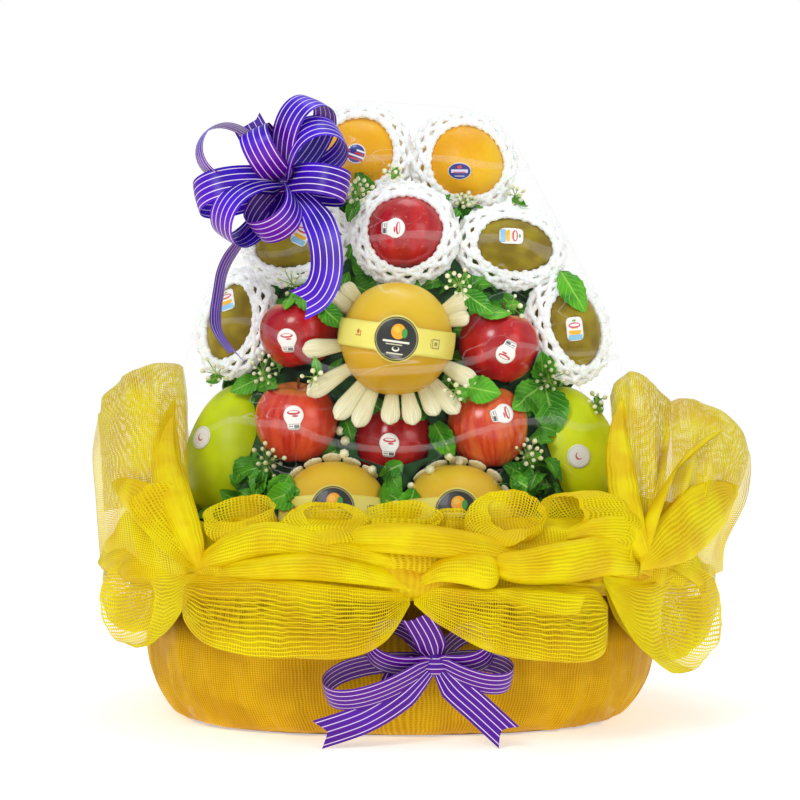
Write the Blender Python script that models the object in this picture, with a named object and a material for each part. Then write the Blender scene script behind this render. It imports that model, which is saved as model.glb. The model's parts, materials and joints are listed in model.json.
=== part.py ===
"""Offering fruit basket: an oval tub wrapped in gathered net, heaped with fruit in foam sleeves, and tied with bows.

Metres, +Z up.  The origin is the middle of the tub's flat underside; the heap faces -Y.
"""

import math
import random

import bmesh
import bpy
from mathutils import Matrix, Vector
from mathutils.bvhtree import BVHTree

# ---------------------------------------------------------------- driving dimensions
TUB_RIM_Z = 0.140
TUB_RIM = (0.218, 0.150)        # half width, half depth outside at the rim
TUB_BASE = (0.190, 0.132)
TUB_WALL = 0.006
OVAL_POWER = 2.5                # squareness of the oval plan
FRUIT_SEGMENTS = 10
FRUIT_RINGS = 6
SLEEVE_SWELL = 1.09             # inside of a foam sleeve over the fruit's radius
SLEEVE_WALL = 0.0055
RIBBON = 0.0012                 # ribbon thickness


# ---------------------------------------------------------------- general helpers
def clear_scene():
    for thing in list(bpy.data.objects):
        bpy.data.objects.remove(thing)


def material(name, colour, roughness, metallic=0.0):
    made = bpy.data.materials.new(name)
    made.use_nodes = True
    shader = made.node_tree.nodes["Principled BSDF"]
    shader.inputs["Base Color"].default_value = (*colour, 1.0)
    shader.inputs["Roughness"].default_value = roughness
    shader.inputs["Metallic"].default_value = metallic
    return made


def add_object(name, mesh_maker, finish=None, smooth=True):
    """Turns a bmesh into a named object with outward faces."""
    bmesh.ops.recalc_face_normals(mesh_maker, faces=mesh_maker.faces)
    data = bpy.data.meshes.new(name)
    mesh_maker.to_mesh(data)
    mesh_maker.free()
    if smooth:
        data.shade_smooth()
        data.set_sharp_from_angle(angle=math.radians(50))
    made = bpy.data.objects.new(name, data)
    bpy.context.scene.collection.objects.link(made)
    if finish is not None:
        data.materials.append(finish)
    return made


def oval(angle, half_x, half_y, power=OVAL_POWER):
    """Point on a squared oval at a parametric angle."""
    c, s = math.cos(angle), math.sin(angle)
    return (math.copysign(abs(c) ** (2 / power), c) * half_x,
            math.copysign(abs(s) ** (2 / power), s) * half_y)


def loft(rings, cap_start=True, cap_end=True, join_ends=False):
    """Skins a list of equal rings of points; the ends are capped, or joined to each other."""
    made = bmesh.new()
    loops = [[made.verts.new(p) for p in ring] for ring in rings]
    pairs = list(zip(loops, loops[1:]))
    if join_ends:
        pairs.append((loops[-1], loops[0]))
    for low, high in pairs:
        for i in range(len(low)):
            j = (i + 1) % len(low)
            made.faces.new((low[i], low[j], high[j], high[i]))
    if not join_ends:
        if cap_start:
            made.faces.new(loops[0][::-1])
        if cap_end:
            made.faces.new(loops[-1])
    return made


def oval_ring(z, half_x, half_y, segments, ripple=None):
    points = []
    for i in range(segments):
        grow = ripple[i] if ripple else 0.0
        x, y = oval(2 * math.pi * i / segments, half_x + grow, half_y + grow)
        points.append((x, y, z))
    return points


def union(name, pieces, finish, solver="EXACT"):
    """Joins overlapping pieces into one closed solid."""
    base, rest = pieces[0], pieces[1:]
    group = bpy.data.collections.new(name + "_pieces")
    for piece in rest:
        group.objects.link(piece)
    joined = base.modifiers.new("join", "BOOLEAN")
    joined.operation = "UNION"
    joined.operand_type = "COLLECTION"
    joined.collection = group
    joined.solver = solver
    return apply_and_clean(base, name, finish, rest)


def apply_and_clean(base, name, finish, used):
    """Applies the modifiers, drops loose scraps and removes the pieces that were used."""
    evaluated = base.evaluated_get(bpy.context.evaluated_depsgraph_get())
    data = bpy.data.meshes.new_from_object(evaluated)
    for piece in [base, *used]:
        bpy.data.objects.remove(piece)
    work = bmesh.new()
    work.from_mesh(data)
    bpy.data.meshes.remove(data)
    bmesh.ops.triangulate(work, faces=work.faces)
    bmesh.ops.remove_doubles(work, verts=work.verts, dist=0.00002)
    bmesh.ops.dissolve_degenerate(work, edges=work.edges, dist=0.00002)
    bmesh.ops.triangulate(work, faces=work.faces)
    keep_largest(work)
    return add_object(name, work, finish)


def keep_largest(work):
    """Deletes every island of faces but the largest one."""
    left = set(work.verts)
    islands = []
    while left:
        seed = left.pop()
        island, front = {seed}, [seed]
        while front:
            for edge in front.pop().link_edges:
                for vert in edge.verts:
                    if vert not in island:
                        island.add(vert)
                        front.append(vert)
        left -= island
        islands.append(island)
    biggest = max(islands, key=len)
    spare = [v for island in islands if island is not biggest for v in island]
    bmesh.ops.delete(work, geom=spare, context="VERTS")


def turned(degrees):
    """Rotation matrix for turns about X, Y and Z, in degrees."""
    a, b, c = (math.radians(d) for d in degrees)
    return (Matrix.Rotation(c, 3, "Z") @ Matrix.Rotation(b, 3, "Y") @ Matrix.Rotation(a, 3, "X"))


# ---------------------------------------------------------------- the heap's fruit
# kind: share of the half height that each end dips in, and how the girth leans to the top
FRUIT_FORM = {
    "orange": {"top_dip": 0.04, "end_dip": 0.02, "lean": 0.00},
    "apple": {"top_dip": 0.22, "end_dip": 0.13, "lean": 0.04},
    "pear": {"top_dip": 0.10, "end_dip": 0.08, "lean": -0.02},
    "kiwi": {"top_dip": 0.03, "end_dip": 0.02, "lean": 0.00},
    "melon": {"top_dip": 0.00, "end_dip": 0.02, "lean": -0.13},
}

# name, kind, centre, (radius, half height), turns about X Y Z in degrees, in a foam sleeve
FRUIT = [
    ("orange_left", "orange", (-0.034, 0.000, 0.514), (0.0365, 0.0350), (20, 0, 0), True),
    ("orange_right", "orange", (0.056, 0.000, 0.505), (0.0385, 0.0370), (-15, 10, 0), True),
    ("apple_sleeved", "apple", (0.005, -0.060, 0.438), (0.0377, 0.0360), (35, 0, 0), True),
    ("kiwi_upper_left", "kiwi", (-0.094, -0.045, 0.428), (0.0270, 0.0405), (0, 80, 0), True),
    ("kiwi_upper_right", "kiwi", (0.098, -0.045, 0.427), (0.0270, 0.0405), (0, 97, 0), True),
    ("kiwi_lower_left", "kiwi", (-0.145, -0.040, 0.362), (0.0260, 0.0400), (0, 16, 0), True),
    ("kiwi_lower_right", "kiwi", (0.151, -0.045, 0.354), (0.0290, 0.0390), (0, -16, 0), True),
    ("pear_middle", "pear", (-0.003, -0.112, 0.346), (0.0490, 0.0505), (-20, 0, 0), False),
    ("apple_upper_left", "apple", (-0.090, -0.085, 0.351), (0.0345, 0.0325), (0, -10, 0), False),
    ("apple_upper_right", "apple", (0.087, -0.085, 0.338), (0.0360, 0.0345), (0, 12, 0), False),
    ("apple_lower_left", "apple", (-0.092, -0.092, 0.272), (0.0365, 0.0380), (10, 4, 0), False),
    ("apple_lower_middle", "apple", (-0.006, -0.070, 0.254), (0.0395, 0.0370), (0, 0, 0), False),
    ("apple_lower_right", "apple", (0.077, -0.092, 0.266), (0.0355, 0.0380), (10, -8, 0), False),
    ("melon_left", "melon", (-0.150, -0.026, 0.238), (0.0465, 0.0650), (0, 6, 0), False),
    ("melon_right", "melon", (0.153, -0.026, 0.236), (0.0475, 0.0650), (0, -7, 0), False),
    ("pear_low_left", "pear", (-0.058, -0.112, 0.189), (0.0495, 0.0505), (-20, 0, 0), False),
    ("pear_low_right", "pear", (0.050, -0.112, 0.189), (0.0495, 0.0505), (-20, 0, 0), False),
    ("back_apple_top", "apple", (0.008, 0.060, 0.434), (0.0377, 0.0360), (-30, 0, 0), False),
    ("back_pear", "pear", (0.002, 0.108, 0.346), (0.0530, 0.0490), (-8, 0, 0), False),
    ("back_apple_upper_left", "apple", (-0.090, 0.080, 0.345), (0.0370, 0.0350), (0, -8, 0), False),
    ("back_apple_upper_right", "apple", (0.090, 0.080, 0.345), (0.0365, 0.0345), (0, 10, 0), False),
    ("back_apple_lower_left", "apple", (-0.086, 0.086, 0.268), (0.0370, 0.0360), (0, 6, 0), False),
    ("back_apple_lower_right", "apple", (0.084, 0.086, 0.268), (0.0370, 0.0360), (0, -6, 0), False),
    ("back_pear_low_left", "pear", (-0.055, 0.108, 0.189), (0.0520, 0.0480), (0, 0, 0), False),
    ("back_pear_low_right", "pear", (0.053, 0.108, 0.189), (0.0520, 0.0480), (0, 0, 0), False),
]
SETTLE_ROUNDS = 400
SETTLE_CLEARANCE = 0.0008


class Fruit:
    """One fruit: where it lies, how it is turned, and how much room it takes."""

    def __init__(self, name, kind, centre, size, turn, sleeved):
        self.name, self.kind, self.sleeved = name, kind, sleeved
        self.wanted = Vector(centre)
        self.centre = Vector(centre)
        self.radius, self.half = size
        self.turn = turned(turn)
        swell = SLEEVE_SWELL if sleeved else 1.0
        extra = SLEEVE_WALL if sleeved else 0.0
        self.girth = Vector((self.radius * swell + extra, self.radius * swell + extra, self.half * swell + extra))

    def reach(self, direction):
        """How far the fruit, with its sleeve, spans from its centre in a direction."""
        local = self.turn.transposed() @ direction
        return math.sqrt(sum((a * b) ** 2 for a, b in zip(local, self.girth)))


def settle(fruits):
    """Presses the fruit apart until none overlap, keeping each close to its place in the heap."""
    for step in range(SETTLE_ROUNDS):
        pull = 0.05 if step < SETTLE_ROUNDS * 0.6 else 0.0
        for fruit in fruits:
            fruit.centre += (fruit.wanted - fruit.centre) * pull
        for i, one in enumerate(fruits):
            for other in fruits[i + 1:]:
                across = other.centre - one.centre
                distance = across.length
                direction = across / distance
                lack = one.reach(direction) + other.reach(direction) + SETTLE_CLEARANCE - distance
                if lack > 0:
                    one.centre -= direction * lack * 0.5
                    other.centre += direction * lack * 0.5


def fruit_profile(fruit, rings=FRUIT_RINGS):
    """Half outline of the fruit from its lower end to its upper end, as radius and height."""
    form = FRUIT_FORM[fruit.kind]
    points = []
    for i in range(rings + 1):
        t = math.pi * i / rings
        r, z = math.sin(t), -math.cos(t)
        dip = form["top_dip"] if z > 0 else form["end_dip"]
        z -= math.copysign(dip * math.exp(-((r / 0.38) ** 2)), z)
        r *= 1 + form["lean"] * z
        points.append((r * fruit.radius, z * fruit.half))
    return points


def fruit_mesh(fruit, lump=0.0, seed=0):
    """The fruit's outline, spun round its own axis, slightly uneven."""
    draw = random.Random(seed)
    swell = [1 + draw.uniform(-lump, 0.0) for _ in range(FRUIT_SEGMENTS)]
    return spun(fruit, fruit_profile(fruit), swell)


def spun(fruit, outline, swell):
    """A closed lathe shape in the fruit's place from a half outline with its ends on the axis."""
    count = len(swell)
    rings = []
    for radius, height in outline[1:-1]:
        ring = []
        for i in range(count):
            angle = 2 * math.pi * i / count
            around = radius * swell[i]
            ring.append(fruit.turn @ Vector((math.cos(angle) * around, math.sin(angle) * around, height)) + fruit.centre)
        rings.append(ring)
    made = loft(rings, False, False)
    made.verts.ensure_lookup_table()
    for end, first in ((outline[0], 0), (outline[-1], (len(rings) - 1) * count)):
        pole = made.verts.new(fruit.turn @ Vector((0, 0, end[1])) + fruit.centre)
        made.verts.ensure_lookup_table()
        for i in range(count):
            made.faces.new((pole, made.verts[first + i], made.verts[first + (i + 1) % count]))
    return made


def socket_mesh(fruit):
    """A plain rounded hollow that clears the fruit."""
    outline = []
    for i in range(SOCKET_RINGS + 1):
        t = math.pi * i / SOCKET_RINGS
        girth = math.sin(t) * (1 - FRUIT_FORM[fruit.kind]["lean"] * math.cos(t))
        outline.append((girth * fruit.girth.x * SOCKET_SWELL, -math.cos(t) * fruit.girth.z * SOCKET_SWELL))
    return spun(fruit, outline, [1.0] * SOCKET_SEGMENTS)


# ---------------------------------------------------------------- foam sleeves
SLEEVE_SEGMENTS = 12
SLEEVE_RIM = math.radians(72)    # the rim's angle from the way the fruit faces
SLEEVE_RINGS = 4
SLEEVE_SCALLOP = 0.0022


def facing(fruit):
    """The way a sleeved fruit looks out of its sleeve: forward, and away from the heap's middle line."""
    return Vector((fruit.wanted.x * 0.6, -0.16, 0.02)).normalized()


def sleeve_rings(fruit, scale, wall, scallop=0.0):
    """Rings of the sleeve from its rim to the back, on an even offset of the fruit."""
    axes = Vector((fruit.radius, fruit.radius, fruit.half))
    out = fruit.turn.transposed() @ facing(fruit)
    out = Vector([a / b for a, b in zip(out, axes)]).normalized()
    right = out.orthogonal().normalized()
    up = right.cross(out)
    size = axes * scale + Vector((wall, wall, wall))

    def place(unit):
        return fruit.centre + fruit.turn @ Vector([a * b for a, b in zip(unit, size)])

    rings = []
    for k in range(SLEEVE_RINGS):
        polar = SLEEVE_RIM + (math.pi - SLEEVE_RIM) * k / SLEEVE_RINGS
        ring = []
        for i in range(SLEEVE_SEGMENTS):
            around = 2 * math.pi * i / SLEEVE_SEGMENTS
            flat = right * math.cos(around) + up * math.sin(around)
            wave = scallop * (1 if i % 2 else -1) if k == 0 else 0.0
            ring.append(place(out * math.cos(polar) + flat * math.sin(polar)) + facing(fruit) * wave)
        rings.append(ring)
    return rings, place(-out)


def sleeve_mesh(fruit):
    """A cup of foam round the back and sides of the fruit."""
    outer, outer_back = sleeve_rings(fruit, SLEEVE_SWELL, SLEEVE_WALL, SLEEVE_SCALLOP)
    inner, inner_back = sleeve_rings(fruit, SLEEVE_SWELL, 0.0, SLEEVE_SCALLOP)
    made = loft(outer[::-1] + inner, False, False)
    made.verts.ensure_lookup_table()
    last = (2 * SLEEVE_RINGS - 1) * SLEEVE_SEGMENTS
    for place, first in ((outer_back, 0), (inner_back, last)):
        pole = made.verts.new(place)
        made.verts.ensure_lookup_table()
        for i in range(SLEEVE_SEGMENTS):
            made.faces.new((pole, made.verts[first + i], made.verts[first + (i + 1) % SLEEVE_SEGMENTS]))
    return made


# ---------------------------------------------------------------- tub and leaf bed
TUB_SEGMENTS = 28
BED_SEGMENTS = 16
SOCKET_SWELL = 1.16
SOCKET_SEGMENTS = 8
SOCKET_RINGS = 5
# height, half width, half depth of the packed bed
BED_RINGS = [
    (0.0086, 0.182, 0.124), (0.060, 0.198, 0.134), (0.136, 0.208, 0.141), (0.190, 0.186, 0.118),
    (0.272, 0.158, 0.093), (0.352, 0.138, 0.082), (0.422, 0.102, 0.058), (0.470, 0.058, 0.030),
]


def tub_mesh():
    """An open oval tub with a flat underside."""
    mid = tuple(a * 0.25 + b * 0.75 for a, b in zip(TUB_BASE, TUB_RIM))
    rings = [
        oval_ring(0.0, *TUB_BASE, TUB_SEGMENTS),
        oval_ring(0.060, *mid, TUB_SEGMENTS),
        oval_ring(TUB_RIM_Z, *TUB_RIM, TUB_SEGMENTS),
        oval_ring(TUB_RIM_Z, TUB_RIM[0] - TUB_WALL, TUB_RIM[1] - TUB_WALL, TUB_SEGMENTS),
        oval_ring(0.060, mid[0] - TUB_WALL, mid[1] - TUB_WALL, TUB_SEGMENTS),
        oval_ring(0.008, TUB_BASE[0] - TUB_WALL, TUB_BASE[1] - TUB_WALL, TUB_SEGMENTS),
    ]
    return loft(rings)


def bed_object(fruits, finish):
    """The packed mound of leaves, with a socket where each fruit beds in."""
    rings = [oval_ring(z, a, b, BED_SEGMENTS) for z, a, b in BED_RINGS]
    bed = add_object("bed_blank", loft(rings))
    cutters = []
    group = bpy.data.collections.new("sockets")
    for fruit in fruits:
        shape = socket_mesh(fruit)
        cutter = add_object("socket_" + fruit.name, shape)
        cutter.hide_render = True
        cutter.display_type = "WIRE"
        group.objects.link(cutter)
        cutters.append(cutter)
    cut = bed.modifiers.new("sockets", "BOOLEAN")
    cut.operation = "DIFFERENCE"
    cut.operand_type = "COLLECTION"
    cut.collection = group
    cut.solver = "EXACT"
    return apply_and_clean(bed, "leaf_bed", finish, cutters)


# ---------------------------------------------------------------- petal collars and bands on the pears
PETAL_THICK = 0.0018
PETAL_INNER = 0.0525
PETAL_VALLEY = 0.0560
PETAL_PITCH = 20.0               # degrees from petal to petal
LOW_REACH = 0.0660               # from the low pears' middles to their petals' tips
# the same for the middle pear, petal by petal round from the right: those under the apple above are short
MIDDLE_REACHES = [0.070, 0.068, 0.062, 0.058, 0.058, 0.058, 0.060, 0.064, 0.067,
                  0.075, 0.084, 0.088, 0.084, 0.074, 0.075, 0.077, 0.079, 0.073]
BAND_HALF_WIDTH = 0.0118
BAND_THICK = 0.0007
LABEL_RADIUS = 0.0205


def petal_collar(name, fruit, first, reaches, lean, forward, finish, seed):
    """A foam hoop behind the pear's girth, cut into round-ended petals that spread out and forward."""
    draw = random.Random(seed)
    centre = fruit.centre + Vector((0, -forward, 0))
    rings = []
    for k, wanted in enumerate(reaches):
        reach = wanted * draw.uniform(0.97, 1.03)
        shoulder = reach - 0.3 * (reach - PETAL_VALLEY)
        middle = first + PETAL_PITCH * (k + 0.5)
        for share, radius in ((-0.5, PETAL_VALLEY), (-0.29, shoulder), (0.0, reach), (0.29, shoulder)):
            rings.append(petal_column(centre, math.radians(middle + share * PETAL_PITCH), radius, lean))
    closed = len(reaches) * PETAL_PITCH >= 360
    if not closed:
        last = first + PETAL_PITCH * len(reaches)
        rings.append(petal_column(centre, math.radians(last), PETAL_VALLEY, lean))
    return add_object(name, loft(rings, join_ends=closed), finish)


def petal_column(centre, angle, radius, lean):
    """Inner and outer edges of the petals at one angle, front and back."""
    column = []
    for reach, depth in ((PETAL_INNER, 0.0), (radius, 0.0), (radius, PETAL_THICK), (PETAL_INNER, PETAL_THICK)):
        away = Vector((math.cos(angle) * reach, depth - (reach - PETAL_INNER) * lean, math.sin(angle) * reach))
        column.append(centre + away)
    return column


def pear_band(name, fruit, tilt, sweep, finish):
    """A paper strip over the front of the pear that widens into a round label in the middle."""
    lean = Matrix.Rotation(math.radians(tilt), 3, "Y")
    clear = fruit.radius + 0.0028
    label = LABEL_RADIUS / clear
    bends = [0.0, 0.42 * label, 0.74 * label, 0.90 * label]
    bends += [label, label + 0.34 * (math.radians(sweep) - label), math.radians(sweep)]
    rings = []
    for angle in [-a for a in bends[:0:-1]] + bends:
        round_half = LABEL_RADIUS * math.sqrt(max(0.0, 1 - (angle / label) ** 2))
        half = max(BAND_HALF_WIDTH, round_half)
        ring = []
        for out, side in ((0, -1), (0, 0), (0, 1), (BAND_THICK, 1), (BAND_THICK, 0), (BAND_THICK, -1)):
            bow_in = math.cos(side * half / clear * 0.8)
            reach = (clear + out) * bow_in
            ring.append(fruit.centre + lean @ Vector((math.sin(angle) * reach, -math.cos(angle) * reach, half * side)))
        rings.append(ring)
    return add_object(name, loft(rings), finish)


# ---------------------------------------------------------------- sprays of buds and leaves
LEAF_THICK = 0.0009
SPRAY_LIFT = 0.0014
# name, centre across and up, leaves as (direction, length, width), number of buds, spread of the buds
SPRAYS = [
    ("spray_left", (-0.124, 0.311), [(205, 0.028, 0.018)], 4, 0.014),
    ("spray_left_low", (-0.134, 0.238), [(258, 0.026, 0.018)], 4, 0.012),
    ("spray_right", (0.128, 0.304), [(100, 0.028, 0.024), (212, 0.036, 0.028), (283, 0.044, 0.034)], 4, 0.013),
    ("spray_right_low", (0.122, 0.236), [(265, 0.026, 0.022)], 4, 0.011),
    ("spray_upper_right", (0.064, 0.390), [(325, 0.032, 0.020)], 4, 0.011),
    ("spray_upper_left", (-0.092, 0.389), [(318, 0.032, 0.020)], 4, 0.012),
    ("spray_top_left", (-0.040, 0.464), [(250, 0.022, 0.014)], 4, 0.011),
]
BUD_RADIUS = 0.0031
STEM_RADIUS = 0.0009


def surface_in_front(trees, x, z, deepest):
    """Depth of the first thing met by looking in from the front at x, z."""
    nearest = deepest
    for tree in trees:
        hit = tree.ray_cast(Vector((x, -0.6, z)), Vector((0, 1, 0)))[0]
        if hit is not None and hit.y < nearest:
            nearest = hit.y
    return nearest


def drape(trees, x, z, deepest, spread=0.006):
    """Nearest depth around x, z, so that what lies there clears everything beneath it."""
    steps = [spread * share for share in (-1.0, -0.5, 0.0, 0.5, 1.0)]
    return min(surface_in_front(trees, x + dx, z + dz, deepest) for dx in steps for dz in steps)


def leaf_mesh(trees, centre, direction, length, width, deepest):
    """A pointed leaf draped over what is under it, both faces split alike."""
    along = Vector((math.cos(direction), math.sin(direction)))
    across = Vector((-along.y, along.x))
    made = bmesh.new()
    rows = [(-0.04, 0.16), (0.30, 0.94), (0.68, 0.86), (1.0, 0.08)]
    front, back = [], []
    for share, wide in rows:
        front_row, back_row = [], []
        for side in (-1, 0, 1):
            flat = Vector(centre) + along * (length * share) + across * (width * 0.5 * wide * side)
            depth = drape(trees, flat.x, flat.y, deepest) - SPRAY_LIFT - (0.0012 if side else 0.0)
            back_row.append(made.verts.new((flat.x, depth, flat.y)))
            front_row.append(made.verts.new((flat.x, depth - LEAF_THICK, flat.y)))
        front.append(front_row)
        back.append(back_row)
    for rows_of, flip in ((front, False), (back, True)):
        for low, high in zip(rows_of, rows_of[1:]):
            for i in (0, 1):
                corners = [low[i], low[i + 1], high[i + 1], high[i]]
                for triangle in ((0, 1, 2), (0, 2, 3)):
                    points = [corners[n] for n in triangle]
                    made.faces.new(points[::-1] if flip else points)
    rim_front = front[0] + [r[2] for r in front[1:]] + front[-1][-2::-1] + [r[0] for r in front[-2:0:-1]]
    rim_back = back[0] + [r[2] for r in back[1:]] + back[-1][-2::-1] + [r[0] for r in back[-2:0:-1]]
    for i in range(len(rim_front)):
        j = (i + 1) % len(rim_front)
        made.faces.new((rim_front[i], rim_back[i], rim_back[j], rim_front[j]))
    return made


def rod_mesh(start, end, radius, sides=3):
    """A thin straight stem."""
    way = (end - start).normalized()
    one = way.orthogonal().normalized()
    two = way.cross(one)
    rings = []
    for place in (start, end):
        rings.append([place + (one * math.cos(2 * math.pi * i / sides) + two * math.sin(2 * math.pi * i / sides)) * radius
                      for i in range(sides)])
    return loft(rings)


def bud_mesh(place, radius):
    """A small bud with eight faces."""
    made = bmesh.new()
    ends = [made.verts.new(place + Vector((0, 0, side * radius * 1.15))) for side in (-1, 1)]
    girth = [made.verts.new(place + Vector((math.cos(a) * radius, math.sin(a) * radius, 0)))
             for a in (0.3, 0.3 + math.pi / 2, 0.3 + math.pi, 0.3 + math.pi * 1.5)]
    for i in range(4):
        for end in ends:
            made.faces.new((end, girth[i], girth[(i + 1) % 4]))
    return made


def spray(name, centre, leaves, buds, spread, trees, finish, seed):
    """A sprig of buds on short stems, with its leaves, as one solid."""
    draw = random.Random(seed)
    x, z = centre
    nearest = min(drape(trees, x, z, 0.0, 0.010), drape(trees, x, z, 0.0, 0.018))
    deepest = nearest + 0.012
    hub = Vector((x, nearest - SPRAY_LIFT - LEAF_THICK, z))
    pieces = [add_object(name + "_hub", bud_mesh(hub, BUD_RADIUS * 0.8))]
    for k, (turn, length, width) in enumerate(leaves):
        shape = leaf_mesh(trees, centre, math.radians(turn), length, width, deepest)
        pieces.append(add_object(f"{name}_leaf_{k}", shape))
    for k in range(buds):
        angle = 2 * math.pi * (k + draw.uniform(-0.2, 0.2)) / buds
        away = spread * draw.uniform(0.55, 1.0)
        bx, bz = x + math.cos(angle) * away, z + math.sin(angle) * away
        place = Vector((bx, drape(trees, bx, bz, deepest, BUD_RADIUS) - BUD_RADIUS - SPRAY_LIFT - 0.001, bz))
        pieces.append(add_object(f"{name}_bud_{k}", bud_mesh(place, BUD_RADIUS * draw.uniform(0.85, 1.1))))
        pieces.append(add_object(f"{name}_stem_{k}", rod_mesh(hub, place, STEM_RADIUS)))
    return union(name, pieces, finish)


# ---------------------------------------------------------------- clear film over the heap
FILM_FOOT = 0.2030               # height of its tucked-in lower edge
FILM_CLEAR = 0.0008
FILM_THICK = 0.0010
FILM_BELOW = 0.0200              # how far under that edge the film still follows what is in it
# rows of stretched panels: elevation of the way they face, and their number all round
FILM_PANELS = [(0, 12), (22, 12), (46, 8), (90, 1)]


def dome(name, points, clear, foot):
    """A closed many-sided dome: each flat panel stands clear of the outermost point behind it."""
    made = bmesh.new()
    bmesh.ops.create_cube(made, size=2.0)
    panels = [(Vector((0, 0, -1)), -foot)]
    for elevation, count in FILM_PANELS:
        rise = math.radians(elevation)
        for i in range(count):
            around = 2 * math.pi * i / count
            flat = Vector((math.cos(around), math.sin(around), 0))
            way = flat * math.cos(rise) + Vector((0, 0, math.sin(rise)))
            panels.append((way, max(way.dot(point) for point in points) + clear))
    for way, reach in panels:
        everything = [*made.verts, *made.edges, *made.faces]
        cut = bmesh.ops.bisect_plane(made, geom=everything, plane_co=way * reach, plane_no=way, clear_outer=True)
        rim = [part for part in cut["geom_cut"] if isinstance(part, bmesh.types.BMEdge)]
        bmesh.ops.contextual_create(made, geom=rim)
    return add_object(name, made)


def film_object(covered, finish):
    """The film stretched over all that lies in the heap, open below."""
    lowest = FILM_FOOT - FILM_BELOW
    points = [v.co for thing in covered for v in thing.data.vertices if v.co.z > lowest]
    outer = dome("film_outer", points, FILM_CLEAR + FILM_THICK, FILM_FOOT)
    inner = dome("film_inner", points, FILM_CLEAR, FILM_FOOT - 0.01)
    hollow = outer.modifiers.new("hollow", "BOOLEAN")
    hollow.operation = "DIFFERENCE"
    hollow.object = inner
    hollow.solver = "EXACT"
    bpy.context.view_layer.update()
    return apply_and_clean(outer, "film_wrap", finish, [inner])


# ---------------------------------------------------------------- gathered net
SKIRT_SEGMENTS = 32
COLLAR_STEPS = 32
# height, outside half width and half depth of the net stretched over the tub
SKIRT_RINGS = [
    (0.0012, 0.198, 0.140), (0.010, 0.212, 0.151), (0.038, 0.228, 0.163),
    (0.080, 0.232, 0.167), (0.134, 0.224, 0.160),
]
COLLAR_LINE = (0.2530, 0.2040)   # half width and half depth of the collar's top
# rows of the collar, over from the tub's rim: half width, half depth, height, share of the ripple
COLLAR_ROWS = [
    (0.2290, 0.1650, 0.1280, 0.0), (0.2310, 0.1720, 0.1600, 0.1), (0.2380, 0.1870, 0.1840, 0.4),
    (0.2530, 0.2040, 0.1940, 0.6), (0.2700, 0.2210, 0.1820, 1.0), (0.2820, 0.2330, 0.1580, 1.0),
    (0.2790, 0.2300, 0.1400, 0.8), (0.2620, 0.2130, 0.1310, 0.4),
]
# puffs on the collar: angle round the rim, across, up, out, height of the middle
COLLAR_PUFFS = [
    (243, 0.044, 0.018, 0.022, 0.190), (260, 0.040, 0.021, 0.022, 0.192), (283, 0.040, 0.020, 0.022, 0.192),
    (302, 0.042, 0.018, 0.022, 0.190), (358, 0.052, 0.026, 0.034, 0.162), (182, 0.050, 0.024, 0.024, 0.164),
    (90, 0.060, 0.021, 0.022, 0.190),
]


def skirt_mesh():
    """The net over the tub's wall, in upright folds."""
    draw = random.Random(5)
    ripple = [0.0026 * math.sin(i * 2.4) + draw.uniform(-0.0008, 0.0008) for i in range(SKIRT_SEGMENTS)]
    rings = [oval_ring(z, a, b, SKIRT_SEGMENTS, ripple) for z, a, b in SKIRT_RINGS]
    inner = []
    for z in (SKIRT_RINGS[-1][0], 0.060, SKIRT_RINGS[0][0]):
        share = z / 0.060 * 0.75 if z <= 0.060 else 0.75 + 0.25 * (z - 0.060) / (TUB_RIM_Z - 0.060)
        size = [a + (b - a) * share + 0.0022 for a, b in zip(TUB_BASE, TUB_RIM)]
        inner.append(oval_ring(z, *size, SKIRT_SEGMENTS))
    return loft(rings + inner, join_ends=True)


def collar_object(finish):
    """The puffed collar round the rim, with the loops that stand on it."""
    draw = random.Random(11)
    swell = [0.0035 * math.sin(i * 1.9) + draw.uniform(-0.0018, 0.0018) for i in range(COLLAR_STEPS)]
    rings = [oval_ring(z, a, b, COLLAR_STEPS, [w * share for w in swell]) for a, b, z, share in COLLAR_ROWS]
    pieces = [add_object("collar_ring", loft(rings, join_ends=True))]
    for k, (degrees, across, up, deep, height) in enumerate(COLLAR_PUFFS):
        pieces.append(add_object(f"collar_puff_{k}", puff_mesh(math.radians(degrees), across, up, deep, height)))
    return union("net_collar", pieces, finish)


def puff_mesh(angle, across, up, deep, height):
    """A rounded loop of net on the collar, longer along the rim."""
    x, y = oval(angle, COLLAR_LINE[0] + 0.006, COLLAR_LINE[1] + 0.006)
    ahead = Vector(oval(angle + 0.05, *COLLAR_LINE)) - Vector(oval(angle - 0.05, *COLLAR_LINE))
    turn = math.atan2(ahead.y, ahead.x)
    made = bmesh.new()
    bmesh.ops.create_uvsphere(made, u_segments=8, v_segments=5, radius=1.0)
    place = (Matrix.Translation((x, y, height)) @ Matrix.Rotation(turn, 4, "Z")
             @ Matrix.Diagonal((across, deep, up, 1)))
    bmesh.ops.transform(made, matrix=place, verts=made.verts)
    return made


def pod_mesh(sections, segments=10):
    """A closed puff lofted through sections: centre, half depth (toward the tub), half height, and heading."""
    rings = []
    for centre, half_out, half_up, heading in sections:
        side = Vector((math.cos(math.radians(heading)), math.sin(math.radians(heading)), 0))
        rings.append([Vector(centre) + side * (math.cos(2 * math.pi * i / segments) * half_out)
                      + Vector((0, 0, math.sin(2 * math.pi * i / segments) * half_up)) for i in range(segments)])
    return loft(rings)


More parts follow.
